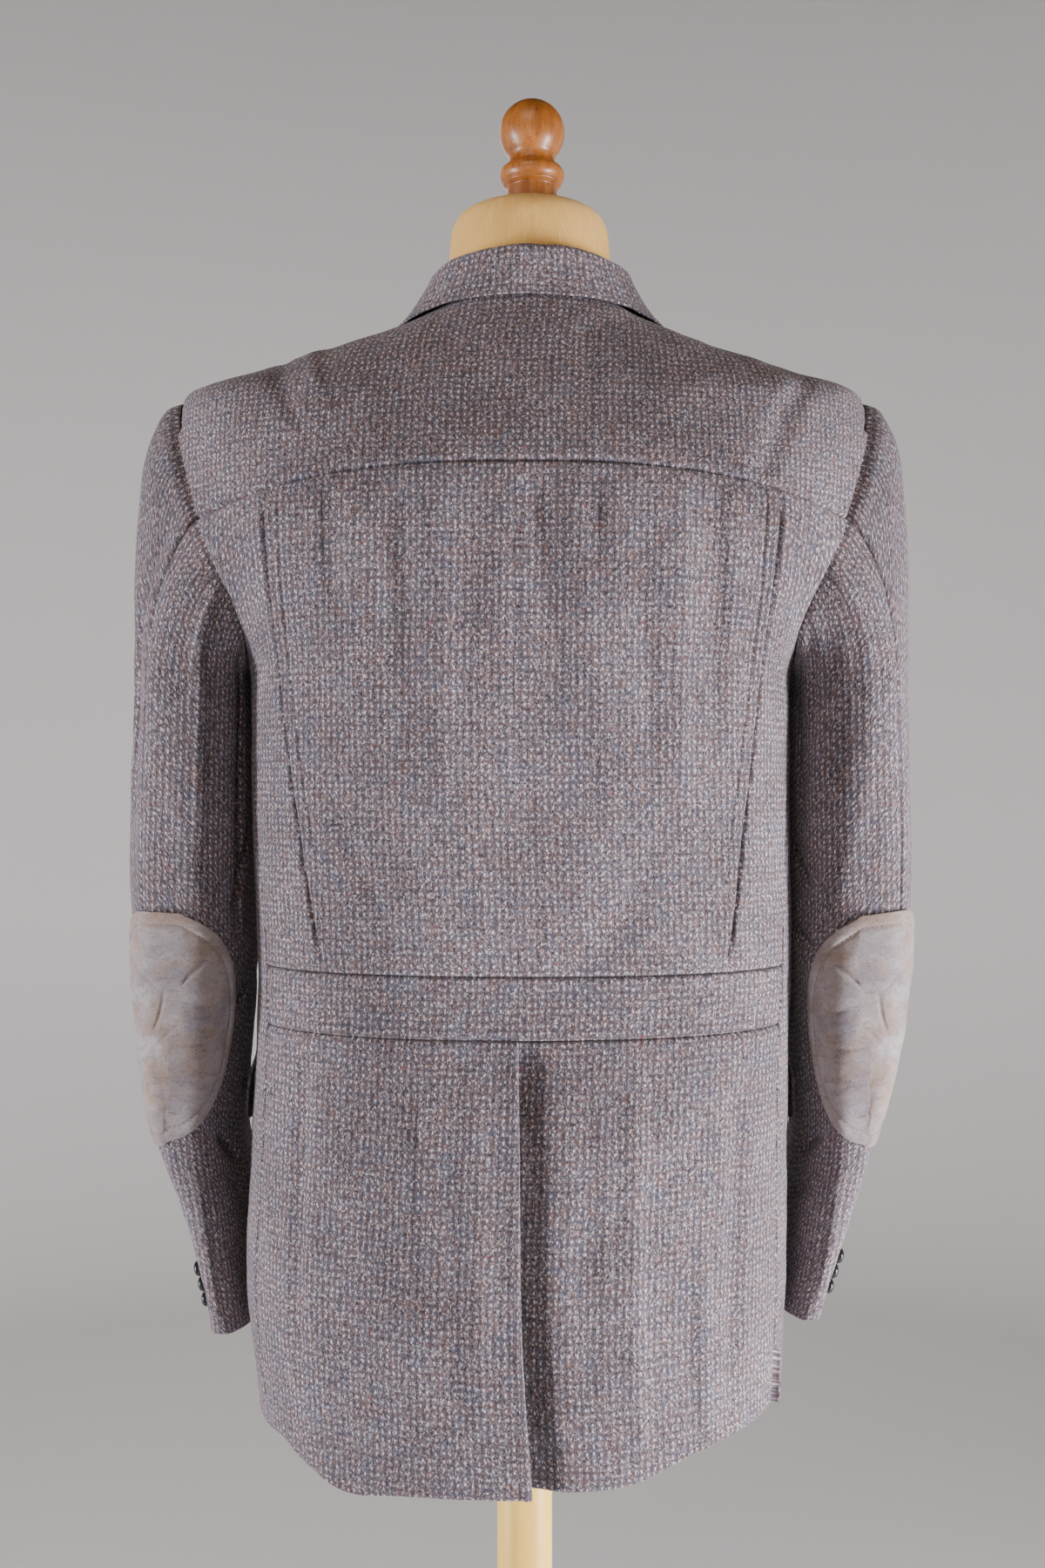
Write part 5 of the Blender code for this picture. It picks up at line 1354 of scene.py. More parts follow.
def weave_group():
    """Tweed: small upright slivers of light yarn, half lost among mottled fibres and loose hairs."""
    t, given = shade_group("tweed_weave", Cloth=None, Dark=(0.02, 0.014, 0.016), Body=(0.15, 0.125, 0.14),
                           Fleck=(0.6, 0.55, 0.58), Across=0.0045, Up=0.0049)
    cloth = given["Cloth"]
    dark = given["Dark"]
    middle = (0.5, 0.5, 0.5)
    wander = t.vector("SUBTRACT", t.noise(cloth, 150.0, 2.0, 0.6, "Color"), middle)
    moved = t.vector("ADD", cloth, t.scaled(wander, 0.0026, 0.0026, 0.0))
    cell = t.vector("DIVIDE", moved, t.join(given["Across"], given["Up"], 1.0))
    whole = t.vector("FLOOR", cell)
    part = t.vector("SUBTRACT", t.vector("SUBTRACT", cell, whole), (0.5, 0.5, 0.0))
    chance = t.add("ShaderNodeTexWhiteNoise", {"noise_dimensions": "3D"}, Vector=whole).outputs
    spread = t.vector("SUBTRACT", chance["Color"], middle)
    part = t.vector("ADD", part, t.scaled(spread, 0.26, 0.32, 0.0))
    rough = t.noise(cloth, 850.0, 2.0, 0.7, "Color")
    ragged = t.vector("SUBTRACT", rough, middle)
    part = t.vector("ADD", part, t.scaled(ragged, 0.42, 0.5, 0.0))
    x, y, _ = t.split(t.vector("DIVIDE", part, (0.138, 0.225, 1.0)))
    reach = t.sum("SQRT", t.plus(t.times(x, x), t.times(y, y)))
    sliver = t.times(t.mapped(reach, 1.3, 0.45), t.mapped(chance["Value"], 0.0, 0.8, 0.25, 1.0))
    column, row, _ = t.split(part)
    valley = t.mapped(t.sum("ABSOLUTE", column), 0.24, 0.55)
    gap = t.mapped(t.sum("ABSOLUTE", row), 0.34, 0.62)
    fine = t.noises(t.scaled(cloth, 1.0, 0.62), 760.0, 2.0, 0.6)
    hue = t.noises(cloth, 300.0, 3.0, 0.7)
    patch = t.noises(cloth, 75.0, 3.0, 0.6)
    base = t.blend(t.mapped(fine[0], 0.34, 0.6), dark, given["Body"])
    base = t.stained(
        base, (fine[1], 0.52, 0.68, 0.8, (0.34, 0.3, 0.34)),
        (hue[0], 0.48, 0.68, 0.6, (0.095, 0.125, 0.2)),
        (hue[1], 0.5, 0.68, 0.55, (0.26, 0.13, 0.1)),
        (hue[2], 0.54, 0.72, 0.5, (0.18, 0.07, 0.12)),
        (patch[0], 0.47, 0.68, 0.3, (0.2, 0.11, 0.085)),
        (patch[1], 0.47, 0.68, 0.32, (0.1, 0.13, 0.19)))
    base = t.blend(t.times(valley, 0.5), base, dark)
    base = t.blend(t.times(gap, 0.3), base, dark)
    tint = t.blend(chance["Color"], (1.0, 0.8, 0.62, 1), (0.72, 0.82, 1.0, 1))
    fleck = t.blend(1.0, given["Fleck"], tint, "MULTIPLY")
    colour = t.blend(t.times(sliver, 0.95), base, fleck)
    colour = t.stained(
        colour, (fine[2], 0.56, 0.68, 0.85, (0.56, 0.51, 0.54)),
        (t.split(rough)[2], 0.6, 0.72, 0.45, dark))
    aside = t.vector("ADD", cloth, (3.1, 7.7, 0.0))
    hair, hair_too = (t.sum("ABSOLUTE", t.sum("SUBTRACT", t.noise(chart, scale, 1.0, 0.4), 0.5))
                      for chart, scale in ((cloth, 330.0), (aside, 240.0)))
    strand = t.sum("MAXIMUM", t.mapped(hair, 0.014, 0.004), t.mapped(hair_too, 0.011, 0.003))
    strand = t.times(strand, t.mapped(hue[2], 0.46, 0.56))
    colour = t.blend(t.times(strand, 0.5), colour, (0.52, 0.47, 0.48, 1))
    cells = t.add("ShaderNodeTexVoronoi", {"voronoi_dimensions": "2D"}, Vector=cloth, Scale=52.0).outputs
    dot = t.mapped(t.plus(cells["Distance"], t.times(t.split(ragged)[0], 0.07)), 0.075, 0.03)
    rare = t.mapped(t.split(cells["Color"])[0], 0.9, 0.92, 0.0, 0.5)
    colour = t.blend(t.times(dot, rare), colour, (0.34, 0.075, 0.085, 1))
    shade = t.mapped(t.noise(cloth, 15.0, 2.0, 0.5), 0.3, 0.7, 0.88, 1.1)
    colour = t.vector("MULTIPLY", colour, t.join(shade, shade, shade))
    height = t.plus(t.plus(t.times(sliver, 0.9), t.times(fine[0], 0.8)), t.times(strand, 0.4))
    return close_group(t, colour, t.sum("SUBTRACT", height, t.times(t.plus(valley, gap), 0.35)))


def suede_group():
    """Worn suede: cloudy nap, fine grain and light scuffs."""
    t, given = shade_group("worn_suede", Cloth=None, Body=(0.26, 0.225, 0.225), Scuff=(0.42, 0.38, 0.39),
                           Brown=(0.29, 0.19, 0.13))
    cloth = given["Cloth"]
    cloud = t.noises(cloth, 38.0, 4.0, 0.62)
    smear = t.noise(t.scaled(cloth, 1.0, 2.6), 70.0, 4.0, 0.65)
    fine = t.noises(cloth, 620.0, 4.0, 0.75)
    colour = t.stained(
        given["Body"], (cloud[0], 0.4, 0.66, 0.8, given["Scuff"]),
        (cloud[1], 0.44, 0.66, 0.75, given["Brown"]),
        (cloud[2], 0.46, 0.68, 0.6, (0.165, 0.155, 0.2)),
        (smear, 0.5, 0.72, 0.4, (0.1, 0.075, 0.075)),
        (fine[0], 0.52, 0.72, 0.4, (0.46, 0.42, 0.44)),
        (fine[1], 0.52, 0.68, 0.55, (0.09, 0.065, 0.065)))
    return close_group(t, colour, t.plus(t.times(fine[2], 0.8), t.times(smear, 0.8)))


def linen_group():
    """Plain linen: crossing yarns of uneven thickness."""
    t, given = shade_group("plain_linen", Cloth=None, Body=(0.86, 0.52, 0.2), Gap=(0.56, 0.29, 0.09),
                           Slub=(0.92, 0.66, 0.34))
    cloth = given["Cloth"]
    wander = t.scaled(t.noise(cloth, 70.0, 2.0, 0.5, "Color"), 0.0009, 0.0009, 0.0)
    yarns = (2 * math.pi / YARN_SPACING,) * 3
    x, y, _ = t.split(t.vector("MULTIPLY", t.vector("ADD", cloth, wander), yarns))
    yarn = t.times(t.mapped(t.sum("SINE", x), -1.0, 1.0), t.mapped(t.sum("SINE", y), -1.0, 1.0))
    slub = t.noise(t.scaled(cloth, 1.0, 0.07), 700.0, 2.0, 0.6)
    slub_too = t.noise(t.scaled(cloth, 0.07, 1.0), 700.0, 2.0, 0.6)
    colour = t.blend(t.mapped(yarn, 0.0, 0.5, 0.62, 0.0), given["Body"], given["Gap"])
    colour = t.stained(
        colour, (slub, 0.55, 0.72, 0.65, given["Slub"]),
        (slub_too, 0.55, 0.72, 0.55, given["Slub"]),
        (t.noise(cloth, 24.0, 3.0, 0.5), 0.4, 0.7, 0.22, (0.66, 0.36, 0.13)))
    return close_group(t, colour, t.plus(yarn, t.times(slub, 0.8)))


def wood_group():
    """Turned wood: long grain with short dark pores."""
    t, given = shade_group("turned_wood", Place=None, Body=(0.43, 0.15, 0.027), Grain=(0.24, 0.068, 0.01),
                           Pore=(0.07, 0.02, 0.006), Pores=0.6)
    rings, streak, pore = (
        t.noise(t.scaled(given["Place"], 1.0, 1.0, along), scale, detail, roughness)
        for along, scale, detail, roughness in ((0.09, 90.0, 4.0, 0.6), (0.05, 520.0, 2.0, 0.6),
                                                (0.16, 900.0, 2.0, 0.5)))
    colour = t.stained(
        given["Body"], (rings, 0.38, 0.68, 1.0, given["Grain"]),
        (streak, 0.42, 0.72, 0.35, given["Grain"]))
    mark = t.times(t.mapped(pore, 0.62, 0.72), given["Pores"])
    return close_group(t, t.blend(mark, colour, given["Pore"]), t.times(mark, -1.0))


def finish(name, group, inputs, bump, shader):
    """A material: one shared effect into a Principled BSDF, whose other values are constants."""
    material = bpy.data.materials.get(name)
    if material:
        return material
    material = bpy.data.materials.new(name)
    material.use_nodes = True
    tree = material.node_tree
    t = Tree(tree)
    principled = tree.nodes["Principled BSDF"]
    for socket, value in shader.items():
        principled.inputs[socket].default_value = value
    effect = t.add("ShaderNodeGroup", {"node_tree": bpy.data.node_groups.get(group.__name__) or group()})
    effect.node_tree.name = group.__name__
    for socket, value in inputs.items():
        effect.inputs[socket].default_value = value if isinstance(value, float) else (*value, 1)
    if "Cloth" in effect.inputs:
        t.feed(effect.inputs["Cloth"], t.add("ShaderNodeUVMap", {"uv_map": "cloth"}).outputs["UV"])
    else:
        t.feed(effect.inputs["Place"], t.add("ShaderNodeTexCoord").outputs["Object"])
    t.feed(principled.inputs["Base Color"], effect.outputs["Color"])
    strength, distance = bump
    relief_node = t.add("ShaderNodeBump", Strength=strength, Distance=distance,
                        Height=effect.outputs["Height"])
    t.feed(principled.inputs["Normal"], relief_node.outputs["Normal"])
    return material


def plain_finish(name, colour, shader):
    """A material of one even colour, for threads, buttons and the stage."""
    material = bpy.data.materials.get(name) or bpy.data.materials.new(name)
    material.use_nodes = True
    inputs = material.node_tree.nodes["Principled BSDF"].inputs
    for socket, value in {"Base Color": (*colour, 1), **shader}.items():
        inputs[socket].default_value = value
    return material


def tweed():
    sizes = jacket_sizes()
    return finish("hacking_tweed", weave_group,
                  {"Dark": sizes.tweed_dark, "Body": sizes.tweed_body, "Fleck": sizes.tweed_fleck,
                   "Across": sizes.fleck_across, "Up": sizes.fleck_up}, (0.75, 0.0006),
                  {"Roughness": 0.95, "Specular IOR Level": 0.1, "Sheen Weight": 0.14,
                   "Sheen Roughness": 0.45, "Sheen Tint": (0.85, 0.8, 0.82, 1)})


def suede():
    return finish("elbow_suede_worn", suede_group, {"Body": jacket_sizes().suede_body}, (0.6, 0.0005),
                  {"Roughness": 0.86, "Specular IOR Level": 0.22, "Sheen Weight": 0.3,
                   "Sheen Roughness": 0.45, "Sheen Tint": (0.9, 0.86, 0.86, 1)})


def linen():
    return finish("form_linen_cover", linen_group, {"Body": jacket_sizes().linen_body}, (0.55, 0.0003),
                  {"Roughness": 0.9, "Specular IOR Level": 0.2, "Sheen Weight": 0.15,
                   "Sheen Roughness": 0.5})


def finial_wood():
    return finish("finial_varnished", wood_group, {"Pores": 0.75}, (0.25, 0.0004),
                  {"Roughness": 0.38, "Coat Weight": 0.22, "Coat Roughness": 0.24})


def pole_wood():
    return finish("pole_beech", wood_group,
                  {"Body": (1.0, 0.66, 0.14), "Grain": (0.92, 0.54, 0.1), "Pore": (0.55, 0.26, 0.08),
                   "Pores": 0.35}, (0.2, 0.0003),
                  {"Roughness": 0.42, "Coat Weight": 0.15, "Coat Roughness": 0.3})


def button_gloss():
    return plain_finish("button_polished", (0.01, 0.01, 0.012),
                        {"Roughness": 0.2, "Specular IOR Level": 0.38, "Coat Weight": 0.15,
                         "Coat Roughness": 0.08})


def thread(shade):
    return plain_finish("thread_" + shade, THREADS[shade],
                        {"Roughness": 0.75, "Specular IOR Level": 0.3, "Sheen Weight": 0.2})


# ---- sizes and colours
class HackingJacketSizes(bpy.types.PropertyGroup):
    """Sizes and colours that the sidebar shows."""

    mesh_step: FloatProperty(
        name="Cloth detail", description="Spacing of the cloth's points",
        default=0.0031, min=0.002, max=0.01, unit="LENGTH")
    front_step: FloatProperty(
        name="Front detail", description="Spacing of the fronts' points",
        default=0.0046, min=0.002, max=0.01, unit="LENGTH")
    crease_strength: FloatProperty(
        name="Creases", description="Depth of the small creases", default=1.0, min=0.0, max=2.0)
    seam_dip: FloatProperty(
        name="Seam dip", description="How far the cloth sinks into a seam",
        default=0.0005, min=0.0, max=0.003, unit="LENGTH")
    fleck_across: FloatProperty(
        name="Fleck spacing", description="Width of the weave's repeat",
        default=0.0045, min=0.002, max=0.02, unit="LENGTH")
    fleck_up: FloatProperty(
        name="Fleck rise", description="Height of the weave's repeat",
        default=0.0047, min=0.002, max=0.02, unit="LENGTH")
    tweed_dark: FloatVectorProperty(
        name="Tweed dark", description="Darkest yarn",
        subtype="COLOR", size=3, default=(0.034, 0.026, 0.03), min=0, max=1)
    tweed_body: FloatVectorProperty(
        name="Tweed body", description="Main yarn",
        subtype="COLOR", size=3, default=(0.165, 0.134, 0.152), min=0, max=1)
    tweed_fleck: FloatVectorProperty(
        name="Tweed fleck", description="Light slivers",
        subtype="COLOR", size=3, default=(0.96, 0.88, 0.91), min=0, max=1)
    suede_body: FloatVectorProperty(
        name="Suede", description="Elbow patches",
        subtype="COLOR", size=3, default=(0.3, 0.255, 0.25), min=0, max=1)
    linen_body: FloatVectorProperty(
        name="Linen", description="The form's cover",
        subtype="COLOR", size=3, default=(1.0, 0.6, 0.135), min=0, max=1)
    light_watts: FloatProperty(
        name="Right light", description="Power of the right softbox", default=64.0, min=0.0, max=2000.0)
    left_watts: FloatProperty(
        name="Left light", description="Power of the left softbox", default=68.0, min=0.0, max=2000.0)
    back_watts: FloatProperty(
        name="Back light", description="Power of the softbox by the camera",
        default=12.0, min=0.0, max=2000.0)
    top_watts: FloatProperty(
        name="Top light", description="Power of the softbox above", default=10.5, min=0.0, max=2000.0)
    fill_watts: FloatProperty(
        name="Front light", description="Power of the front softbox", default=9.0, min=0.0, max=2000.0)


# ---- operators
class JACKET_OT_backs(bpy.types.Operator):
    """Centre backs with their action pleats, and the side backs beneath them"""
    bl_idname = "jacket.backs"
    bl_label = "Backs and pleats"

    def execute(self, context):
        step = jacket_sizes().mesh_step
        for side, word in SIDES:
            sew("back_" + word, back_sheet(side, step), ("right",))
            sew("side_back_" + word, side_back_sheet(side, step))
        return {"FINISHED"}


class JACKET_OT_yoke_and_belt(bpy.types.Operator):
    """Back yoke and half belt, each in one piece from side to side"""
    bl_idname = "jacket.yoke_and_belt"
    bl_label = "Yoke and half belt"

    def execute(self, context):
        step = jacket_sizes().mesh_step
        yoke = across_sheet(rows_of(YOKE_SEAM, NECK_SEAM, step), step, YOKE_CREASES, (), 2.0, 0.00022)
        sew("back_yoke", yoke, name="cloth_yoke")
        levels = np.unique(np.concatenate([rows_of(BELT_LOW, BELT_TOP, 0.0016), [BELT_LOW, BELT_TOP]]))
        belt = across_sheet(levels, step, (), (("low", 0.008), ("high", 0.007)), 5.0, 0.00024)
        sew("half_belt", belt)
        return {"FINISHED"}


class JACKET_OT_skirts(bpy.types.Operator):
    """Back skirts: the left one laps over the right one at the vent"""
    bl_idname = "jacket.skirts"
    bl_label = "Back skirts"

    def execute(self, context):
        for side, word in SIDES:
            sew("skirt_" + word, skirt_sheet(side, jacket_sizes().mesh_step), ("left", "low"))
        return {"FINISHED"}


class JACKET_OT_fronts(bpy.types.Operator):
    """Fronts with their cutaway corners and lapels"""
    bl_idname = "jacket.fronts"
    bl_label = "Fronts and lapels"

    def execute(self, context):
        step = jacket_sizes().front_step
        for side, word in SIDES:
            sew("front_" + word, front_sheet(side, step), ("right", "low"))
            sew("lapel_" + word, lapel_sheet(side, step * 0.7), wall=LAPEL_WALL)
        return {"FINISHED"}


class JACKET_OT_pockets(bpy.types.Operator):
    """Patch pockets and the flaps over their mouths"""
    bl_idname = "jacket.pockets"
    bl_label = "Pockets and flaps"

    def execute(self, context):
        for side, word in SIDES:
            pocket = pocket_sheet(side, POCKET_LOW, POCKET_TOP, POCKET_CORNER, pocket_lift, 0.0026,
                                  41.0 + side)
            sew("pocket_" + word, pocket, wall=DOUBLE_WALL)
            flap = pocket_sheet(side, FLAP_LOW, FLAP_TOP, FLAP_CORNER, flap_lift, 0.0022, 45.0 + side)
            sew("pocket_flap_" + word, flap, wall=DOUBLE_WALL,
                name="cloth_flap_" + word)
        return {"FINISHED"}


class JACKET_OT_collar(bpy.types.Operator):
    """Collar: its stand, roll and leaf are one folded piece"""
    bl_idname = "jacket.collar"
    bl_label = "Collar"

    def execute(self, context):
        sew("collar", collar_sheet(0.0027), wall=DOUBLE_WALL)
        return {"FINISHED"}


class JACKET_OT_sleeves(bpy.types.Operator):
    """Top sleeves and under sleeves, with the bends of a worn jacket"""
    bl_idname = "jacket.sleeves"
    bl_label = "Sleeves"

    def execute(self, context):
        for side, word in SIDES:
            cuts = sleeve_sheets(side, jacket_sizes().mesh_step)
            for node, cut in zip(("under_sleeve_", "top_sleeve_"), cuts):
                sew(node + word, cut, ("high",))
        return {"FINISHED"}


class JACKET_OT_elbow_patches(bpy.types.Operator):
    """Oval suede patches, stitched on over the hindarm seams"""
    bl_idname = "jacket.elbow_patches"
    bl_label = "Elbow patches"

    def execute(self, context):
        for side, word in SIDES:
            points, normals, cloth, rings = patch_sheet(side)
            near = (1 - rings[:, 0]) * cloth[-1, :, 0].max()
            at = np.interp(-ELBOW_BORDER, -near, np.arange(len(near)))
            low = int(at)
            path = mix(points[low], points[low + 1], at - low)
            piece = disc("suede_patch_" + word, points, normals, cloth, SUEDE_WALL, suede())
            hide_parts("elbow_patch_" + word)
            stitches = thread_row("thread_patch_" + word, path, normals[low], thread("grey"))
            flat, area = flat_sizes(cloth)
        return {"FINISHED"}


# radius and height, from the middle of a button's face to the middle of its back
FRONT_BUTTON_PROFILE = ((0.0, 0.0036), (0.0052, 0.0034), (0.0068, 0.004), (0.008, 0.0046),
                        (0.0098, 0.0042), (0.0104, 0.0024), (0.0096, 0.0006), (0.0, 0.0))
CUFF_BUTTON_PROFILE = ((0.0, 0.0056), (0.0018, 0.0055), (0.0036, 0.0051), (0.0052, 0.0041),
                       (0.0058, 0.0022), (0.0058, 0.0012), (0.005, 0.0003), (0.0, 0.0))
BUTTON_BEVEL = 0.0008
FRONT_BUTTON_LEVELS = (1.105, 0.995, 0.885)
CUFF_BUTTON_RISE = (0.022, 0.0345, 0.047)
CUFF_BUTTON_TURN = 140.0
BUTTON_REST = 0.0003
BUTTON_THREAD_REACH = 0.0022
BUTTON_THREAD_HEIGHT = 0.0036


def add_button(name, profile, sides, seat, axis):
    piece = turned("horn_" + name, rounded(profile, BUTTON_BEVEL), sides, button_gloss(),
                   seat, axis)
    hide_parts(name)


class JACKET_OT_buttons(bpy.types.Operator):
    """Three front buttons and three cuff buttons a sleeve"""
    bl_idname = "jacket.buttons"
    bl_label = "Buttons"

    def execute(self, context):
        for k, level in enumerate(FRONT_BUTTON_LEVELS, 1):
            at = np.array([level])
            turn = turn_at(0 * at, at, True)
            seat, above = (body_lifted(turn, at, 1.0, np.array([lift]))[0] for lift in (BUTTON_REST, 0.01))
            axis = unit(above - seat)
            add_button("front_button_%d" % k, FRONT_BUTTON_PROFILE, 48, seat, axis)
            side = unit(np.cross(axis, (0.0, 0.0, 1.0)))
            rise = np.cross(side, axis)
            for across in (1, -1):
                reach = (side * across + rise) * BUTTON_THREAD_REACH
                path = np.linspace(seat - reach, seat + reach, 9) + axis * BUTTON_THREAD_HEIGHT
                thread_row("thread_front_%d_%d" % (k, across + 2), path, np.tile(axis, (9, 1)),
                           thread("dark"), pitch=0.0061, length=0.0056, radius=0.0004)
        for side, word in SIDES:
            rows = sleeve_of(side)
            length = rows[0][0] - rows[-1][0]
            for k, rise in enumerate(CUFF_BUTTON_RISE, 1):
                along = np.array([1 + (length - rise) / length])
                turn = np.radians([CUFF_BUTTON_TURN - rows[-1][6]])
                seats, axes = sleeve_seat(rows, turn, along, side, 0.02, 0.01)
                add_button("cuff_button_%s_%d" % (word, k), CUFF_BUTTON_PROFILE, 40,
                           seats[0] + axes[0] * BUTTON_REST, axes[0])
        return {"FINISHED"}


# level, side_in, back_in, front_in: how far inside the jacket the dress form stands
FORM_INSETS = (
    (0.82, 0.026, 0.036, 0.03), (0.86, 0.016, 0.024, 0.02), (0.95, 0.013, 0.014, 0.012),
    (1.025, 0.012, 0.011, 0.011), (1.2, 0.013, 0.011, 0.01), (1.235, 0.016, 0.01, 0.01),
    (1.32, 0.036, 0.009, 0.01), (1.358, 0.03, 0.0075, 0.008), (1.405, 0.016, 0.0045, 0.005),
    (1.427, 0.0045, 0.0036, 0.005), (1.45, 0.004, 0.0036, 0.006), (1.471, 0.005, 0.0038, 0.01),
    (1.49, 0.0055, 0.0044, 0.012),
)
# height, radius of the neck and its cap
NECK_RINGS = ((1.506, 0.0578), (1.522, 0.0576), (1.538, 0.057), (1.549, 0.055), (1.556, 0.0502),
              (1.5605, 0.042), (1.5645, 0.029))
NECK_X = -0.0035
NECK_Y = 0.004
CAP_TOP = 1.5645
FORM_LOW = 0.82
FORM_SIDES = 120
FORM_CHART_RADIUS = 0.075  # the linen's chart is that of a tube of this radius
FORM_TUCK = 0.0004       # the fine cover stays this far inside, for the cloth over it
POLE_RADIUS = 0.0198
POLE_BEVEL = 0.002
BASE_RADIUS = 0.185
BASE_HEIGHT = 0.034
BASE_LIP = 0.011         # radius of the base's rounded edge
BASE_DISH = 0.012        # how far the base falls from its middle to its edge
WOOD_GAP = 0.0003
FINIAL_X = -0.0052
FINIAL_TOP = 1.644
FINIAL_BALL = (0.0, 1.6205, 0.0236, 0.0235, 89, -42, 27)  # middle, radii, from, to, points
FINIAL_BEAD = (0.0156, 1.5895, 0.008, 0.0072, 65, -40, 11)
FINIAL_NECK = ((0.0168, 1.6035), (0.0163, 1.601), (0.017, 1.5982))
FINIAL_GROOVE = ((0.0208, 1.5842), (0.0214, 1.5832), (0.0196, 1.5815), (0.018, 1.58))
FINIAL_FOOT = 0.018


def arc(x, z, wide, high, start, end, count):
    """Points of a profile on an arc, from one angle to another."""
    return [(x + wide * math.cos(a), z + high * math.sin(a))
            for a in np.radians(np.linspace(start, end, count))]


class JACKET_OT_form(bpy.types.Operator):
    """Linen-covered torso and neck"""
    bl_idname = "jacket.form"
    bl_label = "Dress form"

    def execute(self, context):
        around = 2 * math.pi * np.arange(FORM_SIDES) / FORM_SIDES
        levels = np.concatenate([np.linspace(FORM_LOW, 1.4, 90), np.linspace(1.4035, NECK_SEAM, 46)])
        level, full_turn = grid_of(levels, around)
        side = np.where(full_turn <= math.pi, 1.0, -1.0)
        turn = np.where(side > 0, full_turn, 2 * math.pi - full_turn)
        side_in, back_in, front_in = table(FORM_INSETS, level)
        end = np.where(np.cos(turn) > 0, back_in, front_in)
        inset = mix(end, side_in, np.sin(turn) ** 2) + FORM_TUCK
        rings = body_lifted(turn, level, side, -inset)
        rings[:, :, 2] = np.maximum(rings[:, :, 2], FORM_LOW)
        neck = np.array(NECK_RINGS)
        heights = np.concatenate([np.linspace(1.5, 1.548, 22), np.linspace(1.5498, CAP_TOP, 12)])
        curve = table(NECK_RINGS, np.maximum(heights, neck[0, 0]))[0]
        radii = np.where(heights > neck[0, 0], curve, neck[0, 1])
        top = np.stack([NECK_X + radii[:, None] * np.sin(around), NECK_Y + radii[:, None] * np.cos(around),
                        heights[:, None] + 0 * around], axis=-1)
        points = np.concatenate([rings, top])
        for _ in range(6):
            upper = points[len(levels) - 6:len(levels) + 8]
            upper[1:-1] = (upper[:-2] + 2 * upper[1:-1] + upper[2:]) / 4
        u = around[None, :] * FORM_CHART_RADIUS + 0 * points[..., 2]
        chart = np.stack([u, run(points, 0)], axis=-1)
        count = points.shape[0]
        index = np.arange(count * FORM_SIDES).reshape(count, FORM_SIDES)
        faces = np.roll(tube_faces(index), 1, axis=1).tolist()
        faces.append(index[0].tolist())
        faces.append(index[-1][::-1].tolist())
        piece = add_mesh("linen_torso", points.reshape(-1, 3), faces, chart.reshape(-1, 2), linen())
        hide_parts("form_torso")
        return {"FINISHED"}


class JACKET_OT_stand(bpy.types.Operator):
    """Turned finial, pole and round base"""
    bl_idname = "jacket.stand"
    bl_label = "Turned wood"

    def execute(self, context):
        low = CAP_TOP + WOOD_GAP
        finial = [(0.0, FINIAL_TOP), *arc(*FINIAL_BALL), *FINIAL_NECK, *arc(*FINIAL_BEAD), *FINIAL_GROOVE,
                  (FINIAL_FOOT, low), (0.0, low)]
        piece = turned("turned_finial", rounded(finial, 0.0006, 2), 96, finial_wood(),
                       (FINIAL_X, 0.0, 0.0))
        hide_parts("form_finial")
        high, low = FORM_LOW - WOOD_GAP, BASE_HEIGHT + WOOD_GAP
        pole = [(0.0, high), (POLE_RADIUS, high)]
        pole += [(POLE_RADIUS, z) for z in np.linspace(FORM_LOW - POLE_BEVEL, BASE_HEIGHT + POLE_BEVEL, 40)]
        pole += [(POLE_RADIUS, low), (0.0, low)]
        piece = turned("turned_pole", np.array(pole), 72, pole_wood())
        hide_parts("form_pole")
        base = [(0.0, BASE_HEIGHT), (0.04, BASE_HEIGHT), (0.046, BASE_HEIGHT - BASE_DISH / 2),
                (BASE_RADIUS - 0.02, BASE_HEIGHT - BASE_DISH),
                *arc(BASE_RADIUS - BASE_LIP, BASE_LIP, BASE_LIP, BASE_LIP, 88, -62, 13),
                (BASE_RADIUS - 0.01, 0.0), (0.0, 0.0)]
        piece = turned("turned_base", rounded(base, 0.0025, 3), 120, pole_wood())
        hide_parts("form_base")
        return {"FINISHED"}


# ---- stage
STAGE_RADIUS = 3.2
STAGE_RISE = 3.4
STAGE_BEND = 0.8
STAGE_SIDES = 96
STAGE_DROP = 0.0002      # the floor lies this far below the base
FLAG_FROM = (1.0, 1.4)   # the stage is dark beyond this y and this far out, behind the camera
CAMERA_AT = (0.0016, 1.15, 1.15)
CAMERA_LENS = 36.5


# name, power, place, target, size, colour
SOFTBOXES = (
    ("right_softbox", "light_watts", (-1.4, 0.6, 0.58), (0.0, 0.05, 0.95), (0.26, 1.0), (0.97, 0.96, 1.0)),
    ("left_softbox", "left_watts", (2.15, 0.84, 0.7), (0.0, 0.05, 1.0), (0.3, 1.4), (0.93, 0.94, 1.0)),
    ("back_softbox", "back_watts", (0.4, 2.7, 0.9), (0.0, 0.05, 1.0), (1.4, 1.4), (0.98, 0.97, 1.0)),
    ("top_softbox", "top_watts", (0.3, 1.3, 2.7), (0.0, 0.0, 1.3), (1.0, 1.0), (1.0, 0.8, 0.62)),
    ("front_softbox", "fill_watts", (0.5, -2.2, 2.2), (0.0, 0.0, 1.1), (1.6, 1.2), (1.0, 0.99, 0.97)),
)


def area_light(name, watts, place, target, size, colour):
    data = bpy.data.lights.new(name, "AREA")
    data.shape = "RECTANGLE"
    data.size, data.size_y = size
    data.energy = watts
    data.color = colour
    lamp = bpy.data.objects.new(name, data)
    lamp.location = place
    lamp.rotation_euler = (Vector(target) - Vector(place)).to_track_quat("-Z", "Y").to_euler()
    bpy.context.scene.collection.objects.link(lamp)


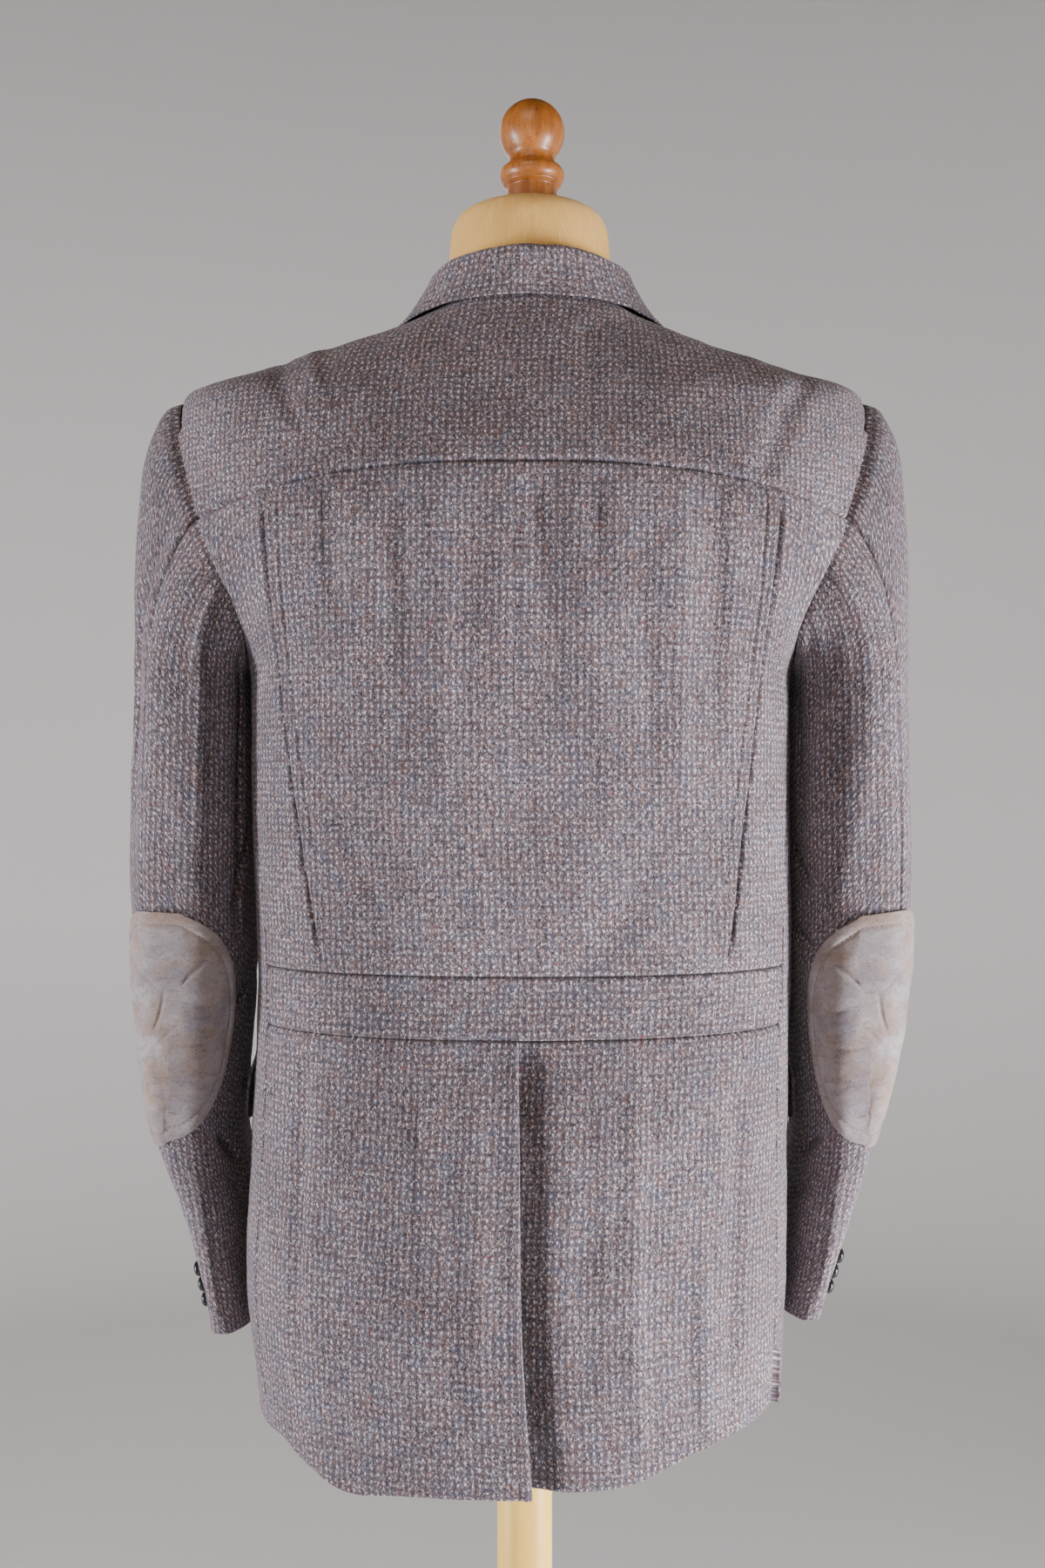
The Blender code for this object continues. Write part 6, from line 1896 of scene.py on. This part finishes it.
class JACKET_OT_stage(bpy.types.Operator):
    """Pale sweep, softboxes and the camera behind the jacket"""
    bl_idname = "jacket.stage"
    bl_label = "Studio stage"

    def execute(self, context):
        bend = arc(STAGE_RADIUS - STAGE_BEND, STAGE_BEND, STAGE_BEND, STAGE_BEND, -90, 0, 16)
        radius, height = np.array([(1.2, 0.0), *bend, (STAGE_RADIUS, STAGE_RISE)]).T[:, :, None]
        angles = 2 * math.pi * np.arange(STAGE_SIDES) / STAGE_SIDES
        rings = np.stack([radius * np.cos(angles), radius * np.sin(angles), height + 0 * angles], axis=-1)
        index = 1 + np.arange(rings[..., 0].size).reshape(-1, STAGE_SIDES)
        faces = [[0, a, b] for a, b in zip(index[0].tolist(), np.roll(index[0], -1).tolist())]
        mesh = bpy.data.meshes.new("studio_sweep")
        verts = np.concatenate([np.zeros((1, 3)), rings.reshape(-1, 3)]) - (0.0, 0.0, STAGE_DROP)
        mesh.from_pydata(verts.tolist(), [], faces + tube_faces(index).tolist())
        mesh.shade_smooth()
        dull = {"Roughness": 0.95, "Specular IOR Level": 0.1}
        mesh.materials.append(plain_finish("studio_paper", (0.8, 0.79, 0.77), dull))
        mesh.materials.append(plain_finish("studio_flag", (0.16, 0.16, 0.16), dull))
        for face in mesh.polygons:
            face.material_index = int(face.center.y > FLAG_FROM[0] and face.center.length > FLAG_FROM[1])
        sweep = bpy.data.objects.new("studio_sweep", mesh)
        context.scene.collection.objects.link(sweep)
        for name, power, *rest in SOFTBOXES:
            area_light(name, getattr(jacket_sizes(), power), *rest)
        world = bpy.data.worlds.new("studio")
        context.scene.world = world
        world.use_nodes = True
        inputs = world.node_tree.nodes["Background"].inputs
        inputs["Color"].default_value = (1.0, 0.93, 0.85, 1)
        inputs["Strength"].default_value = 0.02
        data = bpy.data.cameras.new("camera")
        data.lens = CAMERA_LENS
        data.sensor_width = 36.0
        data.clip_end = 30.0
        camera = bpy.data.objects.new("camera", data)
        camera.location = CAMERA_AT
        camera.rotation_euler = (math.radians(90), 0.0, math.radians(180))
        context.scene.collection.objects.link(camera)
        context.scene.camera = camera
        return {"FINISHED"}


class JACKET_PT_panel(bpy.types.Panel):
    """Every step of the build, in the order in which it runs"""
    bl_idname = "JACKET_PT_panel"
    bl_label = "Hacking jacket"
    bl_space_type = "VIEW_3D"
    bl_region_type = "UI"
    bl_category = "Hacking Jacket"

    def draw(self, context):
        for name in HackingJacketSizes.__annotations__:
            self.layout.prop(context.scene.hacking_jacket, name)
        for step in STEPS:
            self.layout.operator(step.bl_idname)


STEPS = (JACKET_OT_backs, JACKET_OT_yoke_and_belt, JACKET_OT_skirts, JACKET_OT_fronts,
         JACKET_OT_pockets, JACKET_OT_collar, JACKET_OT_sleeves, JACKET_OT_elbow_patches,
         JACKET_OT_buttons, JACKET_OT_form, JACKET_OT_stand, JACKET_OT_stage)


def register():
    for cls in (HackingJacketSizes, *STEPS, JACKET_PT_panel):
        bpy.utils.register_class(cls)
    bpy.types.Scene.hacking_jacket = PointerProperty(type=HackingJacketSizes)


def unregister():
    del bpy.types.Scene.hacking_jacket
    for cls in reversed((HackingJacketSizes, *STEPS, JACKET_PT_panel)):
        bpy.utils.unregister_class(cls)


def main():
    register()
    bpy.ops.jacket.backs()
    bpy.ops.jacket.yoke_and_belt()
    bpy.ops.jacket.skirts()
    bpy.ops.jacket.fronts()
    bpy.ops.jacket.pockets()
    bpy.ops.jacket.collar()
    bpy.ops.jacket.sleeves()
    bpy.ops.jacket.elbow_patches()
    bpy.ops.jacket.buttons()
    bpy.ops.jacket.form()
    bpy.ops.jacket.stand()
    bpy.ops.jacket.stage()
    bpy.context.view_layer.update()


if __name__ == "__main__":
    main()
